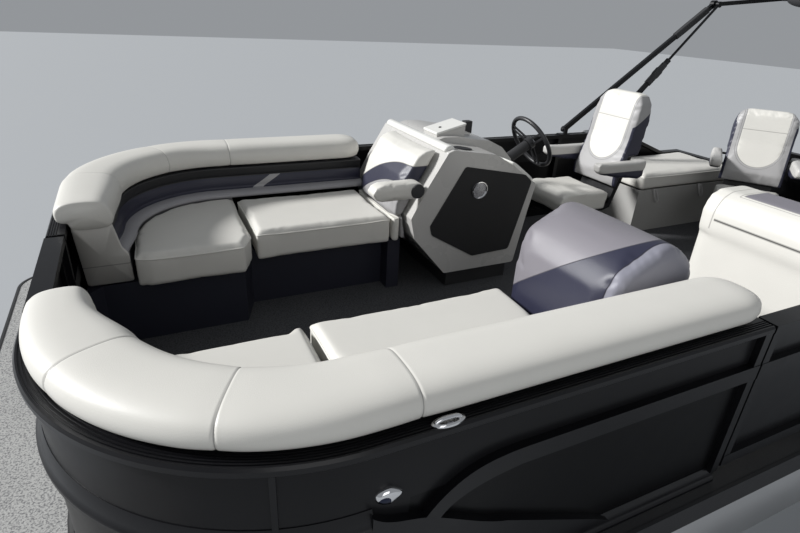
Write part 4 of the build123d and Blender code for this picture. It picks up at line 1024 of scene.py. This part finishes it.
FOOT_A, FOOT_B, KNUCKLE = (3.30, 0.68), (3.69, 0.68), (4.60, 1.60)
ARM_Y, STRUT_Y = 1.205, 1.16
SIDES = (("port", 1), ("starboard", -1))
for side, sign in SIDES:
    along_arm(f"arm_sleeve_{side}", FOOT_A, KNUCKLE,
              [(0.735, 0.019, 0.013), (0.737, 0.024, 0.017), (0.80, 0.025, 0.018), (0.955, 0.024, 0.018),
               (0.958, 0.019, 0.014)], ARM_Y * sign, plastic, "folding_top")
    along_arm(f"strut_clamp_{side}", FOOT_B, KNUCKLE,
              [(0.36, 0.016, 0.015), (0.362, 0.022, 0.019), (0.42, 0.023, 0.019), (0.43, 0.028, 0.019),
               (0.47, 0.028, 0.019), (0.48, 0.021, 0.018), (0.52, 0.020, 0.017), (0.522, 0.0152, 0.0145)],
              STRUT_Y * sign, plastic, "top_struts")
    for number, ((station, rise), out) in enumerate(((FOOT_A, 0.014), (KNUCKLE, 0.017))):
        turned(f"arm_bolt_{side}_{number}",
               [(0, 0.0005), (0, 0.011), (0.004, 0.011), (0.007, 0.007), (0.0075, 0.0005)],
               at(station, (ARM_Y + out) * sign, rise), (0, sign, 0), chrome, "folding_top", 24)


def woven_canvas():
    """Black canvas: fine crossed threads with faded patches."""
    finish = Finish("black_canvas", (0.016, 0.016, 0.018), 0.85)
    faded = finish.noise(6.0, 5)
    finish.paint(faded * 0.6, (0.014, 0.014, 0.016), (0.04, 0.04, 0.043))
    finish.put("Roughness", 0.75 + 0.2 * faded)
    finish.bump(finish.weave("YZ", 150.0, 0.6), 0.0008, 0.5)
    return finish


def boot_grid(length, middle):
    """A canvas sleeve: a tube along Y whose radius swells between its ties, sags below and ends in
    gathered rounds. The folds are waves along the tube that grow towards each tie."""
    y = np.linspace(-length / 2, length / 2, 140)[:, None]
    turn = np.linspace(0, 2 * pi, 40, endpoint=False)[None, :]
    tie = np.abs(np.sin(pi * 5 * (y / length + 0.5)))
    end = np.sqrt(np.clip(1 - (2 * np.abs(y) / length) ** 14, 0.02, 1))
    radius = (0.052 + 0.012 * tie ** 0.5 + 0.003 * np.sin(9 * turn + 30 * y) * (1 - tie) ** 2) * end
    radius = radius * (1 + 0.10 * np.clip(-np.sin(turn), 0, 1))
    return np.stack([middle[0] + radius * np.cos(turn), middle[1] + y + 0 * turn,
                     middle[2] + radius * np.sin(turn) * 0.98], axis=-1)


low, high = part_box("bimini_boot")
boot = boot_grid(2.28, (np.array(low) + np.array(high)) / 2)
boot = grid_piece("bimini_boot_canvas", boot, [woven_canvas()])
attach(boot, "folding_top")
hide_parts("bimini_boot")


# ---- The outboard engine ----
# A painted cowl over the powerhead, a cast leg and bracket in the same black, and an alloy propeller.
# It is clamped to the pod's transom and tilted up.

engine_paint = gelcoat("engine_paint", (0.014, 0.014, 0.016), 0.2)
for part, body in {"bracket": "boat", "swivel": "engine_mount", "leg": "engine"}.items():
    smooth_copy(f"engine_{part}", engine_paint, body, 35)
soft_edges(smooth_copy("engine_cowl", engine_paint, "engine", 40), 0.022, 4)
cast_iron = Finish("cast_block", (0.16, 0.16, 0.165), 0.6, metallic=0.7)
cast_iron.bump(cast_iron.noise(200.0, 3), 0.001, 0.5)
dress(nodes["engine_block"].data, cast_iron)
smooth_copy("propeller", aluminium, "propeller", 40)


# ---- The boarding ladder ----
# Drawn aluminium tube with flat steps, folded up in two sections. It swings down from bolted
# brackets at the stern, and its lower section unfolds.

for part, body in {"bracket": "boat", "upper": "ladder_upper", "lower": "ladder_lower"}.items():
    smooth_copy(f"ladder_{part}", aluminium, body, 40)


# ---- The fittings on the fence ----
# Chromed castings. The cleats are oval plates with a horn that pulls up, screwed to the top rail.
# The docking lights are drops with a dark lens ahead, set in the sheets under the bow corners.


def drop_shell(place, sign):
    """Half a drop that stands out from the sheet: half an ellipse ahead, and an aft end drawn to a
    point. Each ring is the outline shrunk towards its middle as it rises."""
    half_long, half_high, stand_out = 0.034, 0.024, 0.016
    turn = np.linspace(0, 2 * pi, 40, endpoint=False)[None]
    run = half_long * np.cos(turn)
    high = half_high * np.sin(turn) * (1 - 0.6 * np.clip(-np.cos(turn), 0, 1) ** 1.4)
    lift = np.linspace(0, pi / 2, 10)[:, None]
    size, out = np.cos(lift) ** 0.6 * 0.98 + 0.02, stand_out * np.sin(lift)
    x, y, z = place
    return np.stack([x + run * size, y + sign * out + 0 * run, z + high * size], axis=-1)


def lensed_chrome():
    """Chrome with a smoked lens let into its lower fore part."""
    finish = Finish("lensed_chrome", (0.72, 0.72, 0.73), 0.08, metallic=1.0)
    x, z = finish.axis("x"), finish.axis("z")
    lens = ((x - FENCE_FRONT + 0.730) ** 2.0 + (z - DECK - 0.469) ** 2.0) < 0.00021
    finish.paint(lens, (0.72, 0.72, 0.73), (0.03, 0.035, 0.06))
    finish.put("Roughness", 0.06 + 0.08 * finish.noise(40.0, 3))
    return finish


def fitting(piece):
    """Puts a fitting on the boat in the place of the plain ones."""
    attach(piece, "boat")
    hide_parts("rail_fittings")


light_casting = lensed_chrome()
for side, sign in SIDES:
    for number, station in enumerate((0.877, 3.56)):
        centre = at(station, 1.233 * sign, 0.640)
        plate = turned(f"cleat_plate_{side}_{number}",
                       [(0, 0.0005), (0, 0.017), (0.004, 0.0172), (0.0065, 0.0155), (0.007, 0.013),
                        (0.0045, 0.0105), (0.004, 0.0005)], centre, (0, 0, 1), chrome, "boat",
                       count=56, along=2.45)
        run = np.linspace(-1, 1, 25)
        horn = [(centre[0] + 0.033 * s, centre[1], centre[2] + 0.004 + 0.0085 * (1 - s ** 4)) for s in run]
        bar = tube_along(f"cleat_horn_{side}_{number}", horn, 0.0052, chrome, sides=14, up=(0, 1, 0))
        fitting(plate)
        fitting(bar)
    light = drop_shell(at(0.744, 1.228 * sign, 0.476), sign)
    fitting(grid_piece(f"docking_light_{side}", light, [light_casting], sharp=60))
